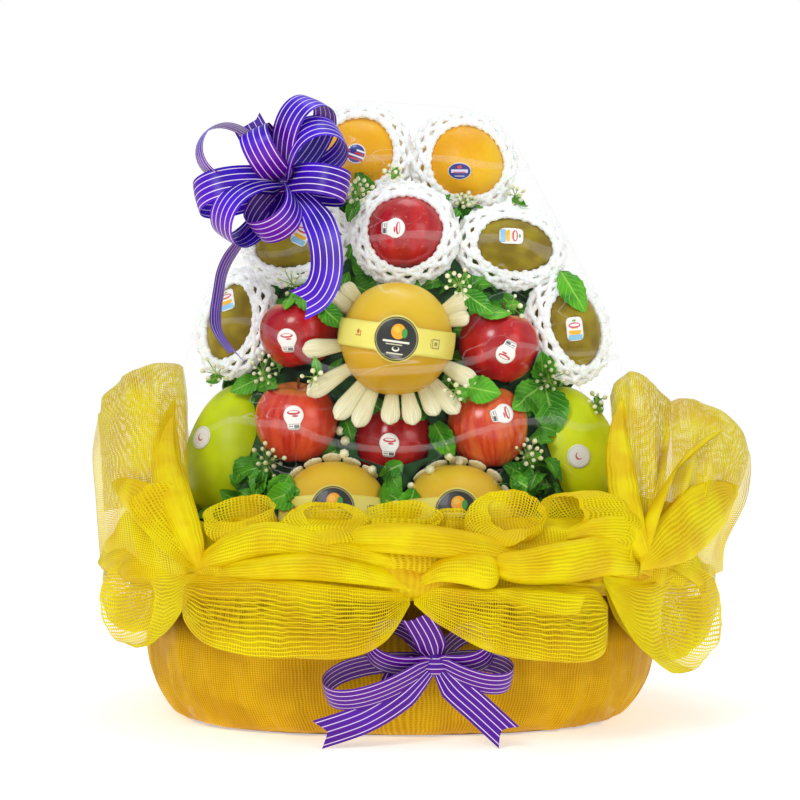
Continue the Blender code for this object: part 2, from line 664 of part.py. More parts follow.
# each lower loop: sections as centre, half depth, half height, heading of the depth
LOWER_LOOPS = {
    "net_loop_front_left": [
        ((0.008, -0.2190, 0.1180), 0.006, 0.009, 90), ((-0.028, -0.2200, 0.1050), 0.013, 0.022, 90),
        ((-0.080, -0.2170, 0.0955), 0.016, 0.031, 88), ((-0.130, -0.2080, 0.0930), 0.016, 0.031, 78),
        ((-0.164, -0.1950, 0.0960), 0.010, 0.018, 66)],
    "net_loop_front_right": [
        ((0.016, -0.2190, 0.1180), 0.006, 0.009, 90), ((0.050, -0.2200, 0.1050), 0.013, 0.022, 90),
        ((0.102, -0.2160, 0.0955), 0.016, 0.031, 93), ((0.146, -0.2060, 0.0920), 0.016, 0.032, 104),
        ((0.174, -0.1930, 0.0960), 0.010, 0.018, 116)],
    "net_loop_side_left": [
        ((-0.186, -0.1820, 0.1060), 0.009, 0.016, 55), ((-0.218, -0.1500, 0.0970), 0.017, 0.032, 45),
        ((-0.248, -0.1060, 0.0930), 0.020, 0.036, 25), ((-0.260, -0.0500, 0.0960), 0.020, 0.032, 5),
        ((-0.262, 0.0000, 0.1040), 0.014, 0.018, 0)],
    "net_loop_side_right": [
        ((0.196, -0.1800, 0.1060), 0.009, 0.016, 125), ((0.230, -0.1480, 0.0900), 0.017, 0.038, 135),
        ((0.264, -0.1040, 0.0830), 0.026, 0.044, 155), ((0.272, -0.0500, 0.0900), 0.026, 0.038, 175),
        ((0.268, 0.0000, 0.1040), 0.014, 0.018, 180)],
    "net_loop_back": [
        ((0.120, 0.2060, 0.0980), 0.008, 0.016, 84), ((0.070, 0.2140, 0.0960), 0.016, 0.030, 90),
        ((0.010, 0.2170, 0.1000), 0.015, 0.022, 90), ((-0.060, 0.2150, 0.0960), 0.016, 0.031, 90),
        ((-0.120, 0.2060, 0.0980), 0.008, 0.016, 96)],
}


def wing_mesh(sections, segments=12):
    """A tall loop of net standing on the collar, lofted upward through flat ovals."""
    rings = []
    for (x, y, z), half_x, half_y in sections:
        rings.append([(x + math.cos(2 * math.pi * i / segments) * half_x,
                       y + math.sin(2 * math.pi * i / segments) * half_y, z) for i in range(segments)])
    return loft(rings)


WING_LEFT = [
    ((-0.244, -0.004, 0.1955), 0.024, 0.050), ((-0.243, -0.004, 0.226), 0.040, 0.066),
    ((-0.240, -0.004, 0.268), 0.039, 0.070), ((-0.232, -0.004, 0.302), 0.031, 0.056), ((-0.222, -0.004, 0.319), 0.014, 0.028),
]
WING_RIGHT = [
    [((0.236, 0.004, 0.1955), 0.022, 0.050), ((0.232, 0.004, 0.232), 0.028, 0.062),
     ((0.231, 0.004, 0.275), 0.024, 0.060), ((0.227, 0.004, 0.312), 0.009, 0.026)],
    [((0.262, 0.000, 0.1955), 0.022, 0.046), ((0.282, 0.000, 0.222), 0.044, 0.064),
     ((0.280, 0.000, 0.262), 0.038, 0.056), ((0.266, 0.000, 0.290), 0.014, 0.026)],
]


# ---------------------------------------------------------------- ribbon bows
# each loop: heading in the X Z plane, tilt toward the front, length, breadth, ribbon roll, in degrees and metres
TOP_KNOT = (-0.1110, -0.1000, 0.4740)
TOP_WIDTH = 0.028
TOP_LOOPS = [
    (68, 10, 0.086, 0.024, 62), (38, 20, 0.070, 0.024, 50), (124, 34, 0.054, 0.018, 8),
    (154, 14, 0.078, 0.022, 84), (186, 12, 0.082, 0.022, 110), (214, 26, 0.072, 0.024, 128),
    (250, 38, 0.060, 0.020, 30), (352, 30, 0.066, 0.018, 14),
]
FRONT_KNOT = (0.0300, -0.1880, 0.0720)
FRONT_WIDTH = 0.0245
FRONT_LOOPS = [
    (166, -4, 0.060, 0.013, 72), (199, 4, 0.094, 0.013, 84), (24, -6, 0.052, 0.012, 72), (358, 4, 0.064, 0.010, 86),
]
# tails: points the ribbon follows, then the heading of its width at each end, in degrees in the X Z plane
TOP_TAILS = {
    "right": ([(-0.111, -0.104, 0.474), (-0.084, -0.126, 0.440), (-0.066, -0.145, 0.404), (-0.070, -0.152, 0.376),
               (-0.092, -0.152, 0.354)], (60, 40)),
    "left": ([(-0.111, -0.098, 0.474), (-0.150, -0.096, 0.444), (-0.176, -0.093, 0.400), (-0.181, -0.104, 0.355),
              (-0.160, -0.134, 0.316)], (120, 160)),
    "up": ([(-0.111, -0.094, 0.474), (-0.124, -0.088, 0.504), (-0.140, -0.086, 0.540)], (170, 200)),
}
FRONT_TAILS = {
    "left": ([(0.030, -0.190, 0.072), (0.002, -0.1920, 0.046), (-0.030, -0.1930, 0.028), (-0.064, -0.1930, 0.019)],
             (140, 104)),
    "right": ([(0.030, -0.190, 0.072), (0.046, -0.1920, 0.052), (0.066, -0.1930, 0.034), (0.090, -0.1930, 0.016)],
              (40, 54)),
    "inner": ([(0.030, -0.186, 0.072), (0.002, -0.1830, 0.062), (-0.010, -0.1810, 0.036)], (150, 178)),
}
LOOP_STEPS = 6


def ribbon_frame(heading, tilt, roll):
    """Directions along a loop, across its opening, and across the ribbon."""
    h, t, r = (math.radians(a) for a in (heading, tilt, roll))
    along = Vector((math.cos(h) * math.cos(t), -math.sin(t), math.sin(h) * math.cos(t)))
    side = Vector((-math.sin(h), 0, math.cos(h)))
    front = along.cross(side)
    opening = side * math.cos(r) + front * math.sin(r)
    return along, opening, along.cross(opening)


def ribbon_strip(line, widths, headings, thick):
    """A flat closed ribbon along a line, with a width direction at each point."""
    rings = []
    for i, place in enumerate(line):
        way = (line[min(i + 1, len(line) - 1)] - line[max(i - 1, 0)]).normalized()
        wide = (headings[i] - way * headings[i].dot(way)).normalized()
        flat = way.cross(wide)
        a, b = wide * (widths[i] / 2), flat * (thick / 2)
        rings.append([place - a - b, place + a - b, place + a + b, place - a + b])
    return loft(rings)


def loop_strip(knot, width, heading, tilt, length, breadth, roll):
    """One bow loop: out from the knot, round, and back to it."""
    along, opening, wide = ribbon_frame(heading, tilt, roll)
    line, widths = [], []
    for i in range(LOOP_STEPS + 1):
        t = i / LOOP_STEPS
        turn = 2 * math.pi * (0.035 + 0.93 * t)
        out = (1 - math.cos(turn)) / 2
        line.append(knot + along * (length * out) + opening * (breadth * math.sin(turn) * math.sqrt(out) * 1.3))
        widths.append(width * min(1.0, 0.22 + 1.6 * math.sin(math.pi * t)))
    return ribbon_strip(line, widths, [wide] * len(line), RIBBON)


def smooth_line(points, steps=2):
    """A smooth curve through a few points."""
    line = []
    for i in range(len(points) - 1):
        before, a = points[max(i - 1, 0)], points[i]
        b, after = points[i + 1], points[min(i + 2, len(points) - 1)]
        for k in range(steps):
            t = k / steps
            line.append(0.5 * (2 * a + (b - before) * t + (2 * before - 5 * a + 4 * b - after) * t ** 2
                               + (3 * a - before - 3 * b + after) * t ** 3))
    line.append(points[-1].copy())
    return line


def tail_strip(points, ends, width):
    """A hanging end of ribbon that widens away from the knot."""
    line = smooth_line([Vector(p) for p in points])
    last = len(line) - 1
    headings, widths = [], []
    for i in range(len(line)):
        turn = math.radians(ends[0] + (ends[1] - ends[0]) * i / last)
        headings.append(Vector((math.cos(turn), -0.06, math.sin(turn))))
        widths.append(width * min(1.0, 0.25 + 2.4 * i / last))
    return ribbon_strip(line, widths, headings, RIBBON)


def bow(name, knot, width, loops, tails, knot_size, finish):
    """Loops and tails of one ribbon, joined at the knot."""
    middle = Vector(knot)
    ball = bmesh.new()
    bmesh.ops.create_uvsphere(ball, u_segments=6, v_segments=4, radius=1.0)
    shape = Matrix.Translation(middle) @ Matrix.Diagonal((*knot_size, 1))
    bmesh.ops.transform(ball, matrix=shape, verts=ball.verts)
    pieces = [add_object(name + "_knot", ball)]
    for k, (heading, tilt, length, breadth, roll) in enumerate(loops):
        pieces.append(add_object(f"{name}_loop_{k}", loop_strip(middle, width, heading, tilt, length, breadth, roll)))
    for key, (points, ends) in tails.items():
        pieces.append(add_object(f"{name}_tail_{key}", tail_strip(points, ends, width)))
    return union(name, pieces, finish, "MANIFOLD")


# ---------------------------------------------------------------- assembly
def solid_tree(thing):
    """A search tree of an object's faces, in world space."""
    return BVHTree.FromPolygons([thing.matrix_world @ v.co for v in thing.data.vertices],
                                [tuple(p.vertices) for p in thing.data.polygons])


def build():
    clear_scene()
    skin = {
        "orange": material("orange_skin", (0.93, 0.50, 0.05), 0.42),
        "apple": material("apple_skin", (0.62, 0.03, 0.03), 0.30),
        "pear": material("pear_skin", (0.82, 0.50, 0.08), 0.48),
        "kiwi": material("kiwi_skin", (0.38, 0.27, 0.05), 0.75),
        "melon": material("melon_skin", (0.62, 0.68, 0.07), 0.45),
    }
    foam = material("foam_sleeve", (0.92, 0.92, 0.90), 0.7)
    net = material("yellow_net", (0.93, 0.70, 0.03), 0.6)
    ribbon = material("purple_ribbon", (0.22, 0.05, 0.62), 0.35)
    leaf = material("leaf_green", (0.08, 0.30, 0.06), 0.55)
    petal = material("petal_foam", (0.86, 0.82, 0.58), 0.6)
    paper = material("paper_band", (0.93, 0.86, 0.40), 0.5)
    rattan = material("rattan", (0.45, 0.25, 0.10), 0.7)
    film = material("clear_film", (0.92, 0.94, 0.95), 0.1)

    fruits = [Fruit(*row) for row in FRUIT]
    settle(fruits)
    by_name = {fruit.name: fruit for fruit in fruits}
    solids = []
    for k, fruit in enumerate(fruits):
        solids.append(add_object(fruit.name, fruit_mesh(fruit, 0.02, k), skin[fruit.kind]))
        if fruit.sleeved:
            solids.append(add_object("sleeve_" + fruit.name, sleeve_mesh(fruit), foam))
    add_object("tub", tub_mesh(), rattan)
    bed = bed_object(fruits, leaf)

    middle = by_name["pear_middle"]
    solids.append(petal_collar("petals_middle", middle, -10, MIDDLE_REACHES, 0.46, 0.005, petal, 3))
    for name, first, seed in (("low_left", 42, 4), ("low_right", 18, 5)):
        pear = by_name["pear_" + name]
        solids.append(petal_collar("petals_" + name, pear, first, [LOW_REACH] * 6, 1.5, 0.006, petal, seed))
    for name, tilt, sweep in (("pear_middle", 8, 80), ("pear_low_left", 0, 66), ("pear_low_right", 2, 66)):
        solids.append(pear_band("band_" + name, by_name[name], tilt, sweep, paper))

    bpy.context.view_layer.update()
    trees = [solid_tree(thing) for thing in solids]
    for k, (name, centre, leaves, buds, spread) in enumerate(SPRAYS):
        solids.append(spray(name, centre, leaves, buds, spread, trees, leaf, 40 + k))
    film_object([*solids, bed], film)

    add_object("net_skirt", skirt_mesh(), net)
    collar_object(net)
    for name, sections in LOWER_LOOPS.items():
        add_object(name, pod_mesh(sections), net)
    add_object("net_wing_left", wing_mesh(WING_LEFT), net)
    halves = [add_object(f"wing_half_{k}", wing_mesh(rows)) for k, rows in enumerate(WING_RIGHT)]
    union("net_wing_right", halves, net)

    bow("bow_top", TOP_KNOT, TOP_WIDTH, TOP_LOOPS, TOP_TAILS, (0.013, 0.011, 0.013), ribbon)
    bow("bow_front", FRONT_KNOT, FRONT_WIDTH, FRONT_LOOPS, FRONT_TAILS, (0.013, 0.008, 0.013), ribbon)


build()
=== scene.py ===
"""Looks of the offering fruit basket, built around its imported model."""

import json
import math
import random

import bmesh
import bpy
from mathutils import Matrix, Vector, noise
from mathutils.bvhtree import BVHTree

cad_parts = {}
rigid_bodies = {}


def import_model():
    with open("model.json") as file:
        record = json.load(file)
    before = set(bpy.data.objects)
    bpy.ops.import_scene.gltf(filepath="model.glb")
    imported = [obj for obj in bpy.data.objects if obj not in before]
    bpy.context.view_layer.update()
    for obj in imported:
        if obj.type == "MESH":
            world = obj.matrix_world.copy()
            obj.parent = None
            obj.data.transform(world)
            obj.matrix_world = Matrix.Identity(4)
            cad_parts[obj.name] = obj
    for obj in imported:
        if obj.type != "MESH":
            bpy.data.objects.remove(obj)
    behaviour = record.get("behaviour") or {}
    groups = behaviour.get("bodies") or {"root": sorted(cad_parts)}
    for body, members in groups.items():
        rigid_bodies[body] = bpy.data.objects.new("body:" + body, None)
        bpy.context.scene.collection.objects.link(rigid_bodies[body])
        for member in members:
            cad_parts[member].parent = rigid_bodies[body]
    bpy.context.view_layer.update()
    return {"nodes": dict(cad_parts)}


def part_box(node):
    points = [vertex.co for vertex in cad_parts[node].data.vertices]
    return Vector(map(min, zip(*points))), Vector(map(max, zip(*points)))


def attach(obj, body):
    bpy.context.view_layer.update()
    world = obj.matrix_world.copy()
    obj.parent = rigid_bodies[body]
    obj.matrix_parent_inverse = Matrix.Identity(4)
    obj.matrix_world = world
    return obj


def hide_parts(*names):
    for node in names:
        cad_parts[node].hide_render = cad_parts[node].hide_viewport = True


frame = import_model()
scene = bpy.context.scene

# ---------------------------------------------------------------- camera, light and table
# The basket stands on a white table in soft daylight, seen straight on from a little above its
# middle.  The table is one wide disc, and a pale sky lights it evenly from all round.
LENS = 100.0
CAMERA_RISE = math.radians(2.0)
CAMERA_DISTANCE = 2.0
CAMERA_AIM = Vector((0.0, -0.060, 0.290))
FRAME_SIDE = 800
SENSOR_WIDTH = 36.0
SKY_AS_LIGHT = 0.58
TABLE_GLOW = 0.46
LIGHTS_AIM = Vector((0.0, 0.0, 0.28))
# name: place, size, watts
LIGHTS = {"key_light": ((-0.9, -1.9, 1.7), 0.7, 19), "fill_light": ((1.5, -1.5, 0.9), 0.9, 5),
          "top_light": ((0.2, 0.3, 2.2), 1.0, 8)}


def colour(code):
    """Linear RGBA of a colour written as six hex digits."""
    parts = [int(code[i:i + 2], 16) / 255 for i in (0, 2, 4)]
    linear = [c / 12.92 if c <= 0.04045 else ((c + 0.055) / 1.055) ** 2.4 for c in parts]
    return (*linear, 1.0)


def put(tree, kind, inputs=None, **settings):
    """Adds a node, with its settings, and its inputs as values or as links."""
    made = tree.nodes.new(kind if "Node" in kind else "ShaderNode" + kind)
    for key, value in settings.items():
        setattr(made, key, value)
    feed(tree, made, inputs or {})
    return made


def feed(tree, node, inputs):
    """Sets a node's inputs to values or links them to outputs; a node stands for its first output."""
    for key, value in inputs.items():
        if isinstance(value, bpy.types.Node):
            value = value.outputs[0]
        if isinstance(value, bpy.types.NodeSocket):
            tree.links.new(value, node.inputs[key])
        else:
            node.inputs[key].default_value = value


def calc(tree, operation, *values, **settings):
    """Arithmetic on numbers or outputs."""
    return put(tree, "Math", dict(enumerate(values)), operation=operation, **settings)


def calc_vector(tree, operation, first, second):
    """Arithmetic on vectors; a scale is a number."""
    key = "Scale" if operation == "SCALE" else 1
    return put(tree, "VectorMath", {0: first, key: second}, operation=operation)


def remap(tree, value, low, high, start=0.0, end=1.0, soft=False):
    """Maps one range of values onto another, straight or eased at both ends."""
    return put(tree, "MapRange", {0: value, 1: low, 2: high, 3: start, 4: end},
               interpolation_type="SMOOTHSTEP" if soft else "LINEAR")


def blend_colours(tree, factor, first, second):
    """A colour between two, given as codes or as outputs, by a factor."""
    first, second = (colour(c) if isinstance(c, str) else c for c in (first, second))
    return put(tree, "Mix", {0: factor, 6: first, 7: second}, data_type="RGBA").outputs[2]


def object_space(tree):
    """The coordinates of a piece in its own space."""
    return put(tree, "TexCoord").outputs["Object"]


def part_of(tree, value, axis):
    """One coordinate of a vector."""
    return put(tree, "SeparateXYZ", {0: value}).outputs[axis]


def new_material(name, sockets=None):
    """A material whose shader has the given values: returns it, its tree and its shader."""
    made = bpy.data.materials.new(name)
    made.use_nodes = True
    shader = made.node_tree.nodes["Principled BSDF"]
    feed(made.node_tree, shader, sockets or {})
    return made, made.node_tree, shader


def belong(made, node=None):
    """Makes a piece ride on the root body, and hides the imported solid that it stands for, if one is given."""
    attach(made, "root")
    if node:
        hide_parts(node)


def show(name, data, material, smooth=True):
    """Puts a mesh in the scene under a name, with its material."""
    if isinstance(data, bmesh.types.BMesh):
        work, data = data, bpy.data.meshes.new(name)
        work.to_mesh(data)
        work.free()
    made = bpy.data.objects.new(name, data)
    scene.collection.objects.link(made)
    if data.materials:
        data.materials.clear()
    for part in material if isinstance(material, (list, tuple)) else [material]:
        data.materials.append(part)
    if smooth:
        data.shade_smooth()
    return made


camera_data = bpy.data.cameras.new("camera")
camera_data.lens = LENS
camera_data.sensor_width = SENSOR_WIDTH
camera_data.clip_end = 60.0
camera = bpy.data.objects.new("camera", camera_data)
scene.collection.objects.link(camera)
camera.location = CAMERA_AIM + CAMERA_DISTANCE * Vector((0, -math.cos(CAMERA_RISE), math.sin(CAMERA_RISE)))
camera.rotation_euler = (math.radians(90) - CAMERA_RISE, 0, 0)
scene.camera = camera
scene.view_settings.view_transform = "Standard"
scene.cycles.transparent_max_bounces = 40

sky = bpy.data.worlds.new("pale_sky")
sky.use_nodes = True
tree = sky.node_tree
shine = remap(tree, put(tree, "LightPath").outputs["Is Camera Ray"], 0.0, 1.0, SKY_AS_LIGHT, 1.0)
feed(tree, tree.nodes["Background"], {"Color": (1.0, 1.0, 1.0, 1.0), "Strength": shine})
scene.world = sky
for name, (place, size, watts) in LIGHTS.items():
    light_data = bpy.data.lights.new(name, "AREA")
    light_data.size, light_data.energy = size, watts
    light = bpy.data.objects.new(name, light_data)
    scene.collection.objects.link(light)
    light.location = place
    light.rotation_euler = (Vector(place) - LIGHTS_AIM).to_track_quat("Z", "Y").to_euler()

table_white, tree, shader = new_material("table_white", {
    "Roughness": 0.9, "Specular IOR Level": 0.0, "Emission Color": (1.0, 1.0, 1.0, 1.0),
    "Emission Strength": TABLE_GLOW})
place = object_space(tree)
cloud = put(tree, "TexNoise", {"Vector": place, "Scale": 2.0, "Detail": 3.0})
tint = blend_colours(tree, cloud, "F7F7F5", "FBFBFA")
feed(tree, shader, {"Base Color": tint})
disc = bmesh.new()
bmesh.ops.create_circle(disc, cap_ends=True, segments=96, radius=9.0)
table = show("table", disc, table_white, smooth=False)

# ---------------------------------------------------------------- tub
# A plain oval tub of woven rattan that carries the heap.  The net hides it from outside, so only
# its rim and floor can be seen, from above and below.


def finish_skin(tree, shader, skin, height, strength, distance):
    """Gives a shader its colour, and a bump from a height."""
    bump = put(tree, "Bump", {"Height": height, "Strength": strength, "Distance": distance})
    feed(tree, shader, {"Base Color": skin, "Normal": bump})


rattan, tree, shader = new_material("rattan", {"Roughness": 0.62})
place = object_space(tree)
parts = put(tree, "SeparateXYZ", {0: place})
turn_of = calc(tree, "ARCTAN2", parts.outputs["Y"], parts.outputs["X"])
strand_a = calc(tree, "SINE", calc(tree, "MULTIPLY", turn_of, 52.0))
strand_b = calc(tree, "SINE", calc(tree, "MULTIPLY", parts.outputs["Z"], 520.0))
woven = calc(tree, "MULTIPLY", strand_a, strand_b)
rise = remap(tree, woven, -1.0, 1.0)
tint = blend_colours(tree, rise, "7A4E22", "C9934E")
finish_skin(tree, shader, tint, rise, 0.6, 0.0012)
frame["nodes"]["tub"].data.materials.clear()
frame["nodes"]["tub"].data.materials.append(rattan)

# ---------------------------------------------------------------- fruit: shapes and shared skin effects
# Whole ripe fruit, each with its stem hollow, its own unevenness and a waxy skin.  Every fruit is
# grown about its own axis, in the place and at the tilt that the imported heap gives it.
FRUIT_RINGS = 40
FRUIT_SIDES = 60
# kind: share of the half height that each end dips in, how the girth leans, and the skin's unevenness
FRUIT_FORM = {
    "orange": {"top_dip": 0.04, "end_dip": 0.02, "lean": 0.00, "uneven": 0.012},
    "apple": {"top_dip": 0.22, "end_dip": 0.13, "lean": 0.04, "uneven": 0.020},
    "pear": {"top_dip": 0.10, "end_dip": 0.08, "lean": -0.02, "uneven": 0.014},
    "kiwi": {"top_dip": 0.03, "end_dip": 0.02, "lean": 0.00, "uneven": 0.016},
    "melon": {"top_dip": 0.00, "end_dip": 0.02, "lean": -0.13, "uneven": 0.018},
}


def turned(degrees):
    """Rotation for turns about X, Y and Z, in degrees."""
    a, b, c = (math.radians(d) for d in degrees)
    return Matrix.Rotation(c, 3, "Z") @ Matrix.Rotation(b, 3, "Y") @ Matrix.Rotation(a, 3, "X")


def middle_of(node):
    """Middle of the box round a solid."""
    low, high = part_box(node)
    return (low + high) / 2


def grow_fruit(node, kind, radius, half, degrees, skin, seed, stem=None):
    """One fruit as a closed mesh, with its own axis coordinates kept in the attribute 'grain'."""
    form = FRUIT_FORM[kind]
    turn, centre = turned(degrees), middle_of(node)
    work = bmesh.new()
    grain = work.verts.layers.float_vector.new("grain")
    rows = []
    for i in range(FRUIT_RINGS + 1):
        t = math.pi * i / FRUIT_RINGS
        girth, height = math.sin(t), -math.cos(t)
        dip = form["top_dip"] if height > 0 else form["end_dip"]
        height -= math.copysign(dip * math.exp(-((girth / 0.38) ** 2)), height)
        girth *= 1 + form["lean"] * height
        row = []
        for k in range(1 if i in (0, FRUIT_RINGS) else FRUIT_SIDES):
            angle = 2 * math.pi * k / FRUIT_SIDES
            lobes = 0.022 * math.cos(5 * angle + seed) * abs(height) ** 3 if kind == "apple" else 0.0
            point = Vector((girth * math.cos(angle), girth * math.sin(angle), height))
            swell = 1 + form["uneven"] * noise.noise(point * 1.3 + Vector((seed * 7.1, 0, 0))) - lobes
            local = Vector((point.x * radius * swell, point.y * radius * swell, point.z * half * swell))
            vert = work.verts.new(turn @ local + centre)
            vert[grain] = point
            row.append(vert)
        rows.append(row)
    for low, high in zip(rows, rows[1:]):
        for k in range(FRUIT_SIDES):
            j = (k + 1) % FRUIT_SIDES
            if len(low) == 1:
                work.faces.new((low[0], high[j], high[k]))
            elif len(high) == 1:
                work.faces.new((low[k], low[j], high[0]))
            else:
                work.faces.new((low[k], low[j], high[j], high[k]))
    if stem:
        add_stem(work, centre + turn @ Vector((0, 0, half * (1 - form["top_dip"] - 0.04))), turn, *stem, seed)
    bmesh.ops.recalc_face_normals(work, faces=work.faces)
    materials = [skin, stem_brown] if stem else [skin]
    made = show(node + "_fruit", work, materials)
    belong(made, node)
    return made


def add_stem(work, foot, turn, length, thick, seed):
    """A short woody stem, bent a little, in the hollow at the top."""
    lean = Vector((math.cos(seed * 2.3), math.sin(seed * 2.3), 0)) * 0.35
    rows = []
    for i in range(6):
        t = i / 5
        middle = foot + turn @ (Vector((0, 0, length * t)) + lean * (length * t * t))
        wide = thick * (1.0 - 0.35 * t + (0.45 if i == 5 else 0.0))
        rows.append([work.verts.new(middle + turn @ Vector((math.cos(a) * wide, math.sin(a) * wide, 0)))
                     for a in [2 * math.pi * k / 8 for k in range(8)]])
    for low, high in zip(rows, rows[1:]):
        for k in range(8):
            work.faces.new((low[k], low[(k + 1) % 8], high[(k + 1) % 8], high[k])).material_index = 1
    for cap in (rows[0][::-1], rows[-1]):
        work.faces.new(cap).material_index = 1


def new_effect(name, inputs, outputs):
    """A shader group with named inputs (None for a vector) and outputs: returns it with its two end nodes."""
    group = bpy.data.node_groups.new(name, "ShaderNodeTree")
    for key, value in inputs.items():
        kind = "NodeSocketVector" if value is None else "NodeSocketFloat"
        made = group.interface.new_socket(key, in_out="INPUT", socket_type=kind)
        if value is not None:
            made.default_value = value
    for key in outputs:
        group.interface.new_socket(key, in_out="OUTPUT", socket_type="NodeSocketFloat")
    return group, put(group, "NodeGroupInput"), put(group, "NodeGroupOutput")


def cloudy(tree, place, spacing, low=0.35, high=0.65):
    """Cloudy patches over a surface."""
    return use_effect(tree, clouds, {"Vector": place, "Spacing": spacing, "Low": low, "High": high})


def tinged(tree, skin, code, mask, share):
    """A skin with a share of another colour where a mask is."""
    return blend_colours(tree, calc(tree, "MULTIPLY", mask, share), skin, code)


def mottled(name, sockets, dark, light, spacing, low=0.35, high=0.65):
    """A plain material that drifts between two shades."""
    made, tree, shader = new_material(name, sockets)
    patches = cloudy(tree, object_space(tree), spacing, low, high)
    feed(tree, shader, {"Base Color": blend_colours(tree, patches, dark, light)})
    return made


def use_effect(tree, group, inputs):
    """Places a group in a material with its own values."""
    made = tree.nodes.new("ShaderNodeGroup")
    made.node_tree = group
    feed(tree, made, inputs)
    return made


# soft patches that run along the fruit from end to end, as the sun colours it
streaks, start, end = new_effect("skin_streaks", {
    "Grain": None, "Fineness": 5.0, "Along": 0.5, "Low": 0.35, "High": 0.7}, ["Mask"])
flat = calc_vector(streaks, "MULTIPLY", start.outputs["Grain"], (1.0, 1.0, 0.0))
ring = put(streaks, "VectorMath", {0: flat}, operation="NORMALIZE")
fine = calc_vector(streaks, "SCALE", ring, start.outputs["Fineness"])
slow = calc(streaks, "MULTIPLY", part_of(streaks, start.outputs["Grain"], "Z"), start.outputs["Along"])
lift = put(streaks, "CombineXYZ", {"Z": slow})
spot = calc_vector(streaks, "ADD", fine, lift)
grainy = put(streaks, "TexNoise", {"Vector": spot, "Scale": 1.0, "Detail": 5.0, "Roughness": 0.65})
cut = remap(streaks, grainy, start.outputs["Low"], start.outputs["High"], soft=True)
feed(streaks, end, {"Mask": cut})

# small round dots scattered over a skin
dots, start, end = new_effect("skin_dots", {"Vector": None, "Spacing": 0.004, "Size": 0.16}, ["Mask"])
count = calc(dots, "DIVIDE", 1.0, start.outputs["Spacing"])
cells = put(dots, "TexVoronoi", {"Vector": start.outputs["Vector"], "Scale": count})
edge = calc(dots, "MULTIPLY", start.outputs["Size"], 0.55)
cut = remap(dots, cells, edge, start.outputs["Size"], 1.0, 0.0, soft=True)
feed(dots, end, {"Mask": cut})

# cloudy change of shade over a surface, and a fine grain for its bump
clouds, start, end = new_effect("soft_clouds", {
    "Vector": None, "Spacing": 0.03, "Low": 0.35, "High": 0.65}, ["Mask", "Grain"])
count = calc(clouds, "DIVIDE", 1.0, start.outputs["Spacing"])
large = put(clouds, "TexNoise", {"Vector": start.outputs["Vector"], "Scale": count, "Detail": 3.0})
cut = remap(clouds, large, start.outputs["Low"], start.outputs["High"], soft=True)
tight = calc(clouds, "MULTIPLY", count, 24.0)
small = put(clouds, "TexNoise", {"Vector": start.outputs["Vector"], "Scale": tight, "Detail": 2.0})
feed(clouds, end, {"Mask": cut, "Grain": small})

stem_brown = mottled("stem_brown", {"Roughness": 0.8}, "4A2E14", "7C5A2C", 0.003)


def skin_inputs(tree):
    """The two sets of coordinates that a skin follows: the fruit's own axis, and its place."""
    grain = put(tree, "Attribute", attribute_name="grain")
    return grain.outputs["Vector"], object_space(tree)


# ---------------------------------------------------------------- oranges
# Two oranges crown the heap.  Their rind is pitted with small oil glands and waxed.
ORANGES = {
    "orange_left": (0.0365, 0.0350, (20, 0, 0)),
    "orange_right": (0.0385, 0.0370, (-15, 10, 0)),
}
orange_skin, tree, shader = new_material("orange_skin", {"Roughness": 0.40, "Subsurface Weight": 0.12,
        "Subsurface Scale": 0.004, "Specular IOR Level": 0.3})
grain, place = skin_inputs(tree)
patches = cloudy(tree, place, 0.05, 0.38, 0.66)
pits = use_effect(tree, dots, {"Vector": place, "Spacing": 0.0026, "Size": 0.42})
peel = blend_colours(tree, patches, "E8A804", "F4C412")
peel = tinged(tree, peel, "EC9008", pits, 0.35)
dimple = calc(tree, "MULTIPLY", pits, -1.0)
finish_skin(tree, shader, peel, dimple, 0.35, 0.0006)
fruit_pieces = {}
for seed, (node, (radius, half, degrees)) in enumerate(ORANGES.items()):
    fruit_pieces[node] = grow_fruit(node, "orange", radius, half, degrees, orange_skin, seed)

# ---------------------------------------------------------------- apples
# Dessert apples with a thin glossy skin: deep red streaks over a paler ground, pale pores, and a
# short stem in the hollow.  The ones low on the right have caught less sun.
APPLES = {
    "apple_sleeved": (0.0377, 0.0360, (-20, 0, 0), "deep"),
    "apple_upper_left": (0.0345, 0.0325, (0, -10, 0), "deep"),
    "apple_upper_right": (0.0360, 0.0345, (0, 12, 0), "deep"),
    "apple_lower_left": (0.0365, 0.0380, (10, 4, 0), "streaked"),
    "apple_lower_middle": (0.0395, 0.0370, (0, 0, 0), "deep"),
    "apple_lower_right": (0.0355, 0.0380, (10, -8, 0), "pale"),
    "back_apple_top": (0.0377, 0.0360, (-30, 0, 0), "streaked"),
    "back_apple_upper_left": (0.0370, 0.0350, (0, -8, 0), "deep"),
    "back_apple_upper_right": (0.0365, 0.0345, (0, 10, 0), "streaked"),
    "back_apple_lower_left": (0.0370, 0.0360, (0, 6, 0), "streaked"),
    "back_apple_lower_right": (0.0370, 0.0360, (0, -6, 0), "deep"),
}
# finish: ground, streak, and how much of the ground shows
APPLE_FINISH = {
    "deep": ("D01A1C", "A50713", 0.44, 0.70),
    "streaked": ("E4502C", "B70F16", 0.30, 0.66),
    "pale": ("F0813A", "CC2A1A", 0.36, 0.80),
}
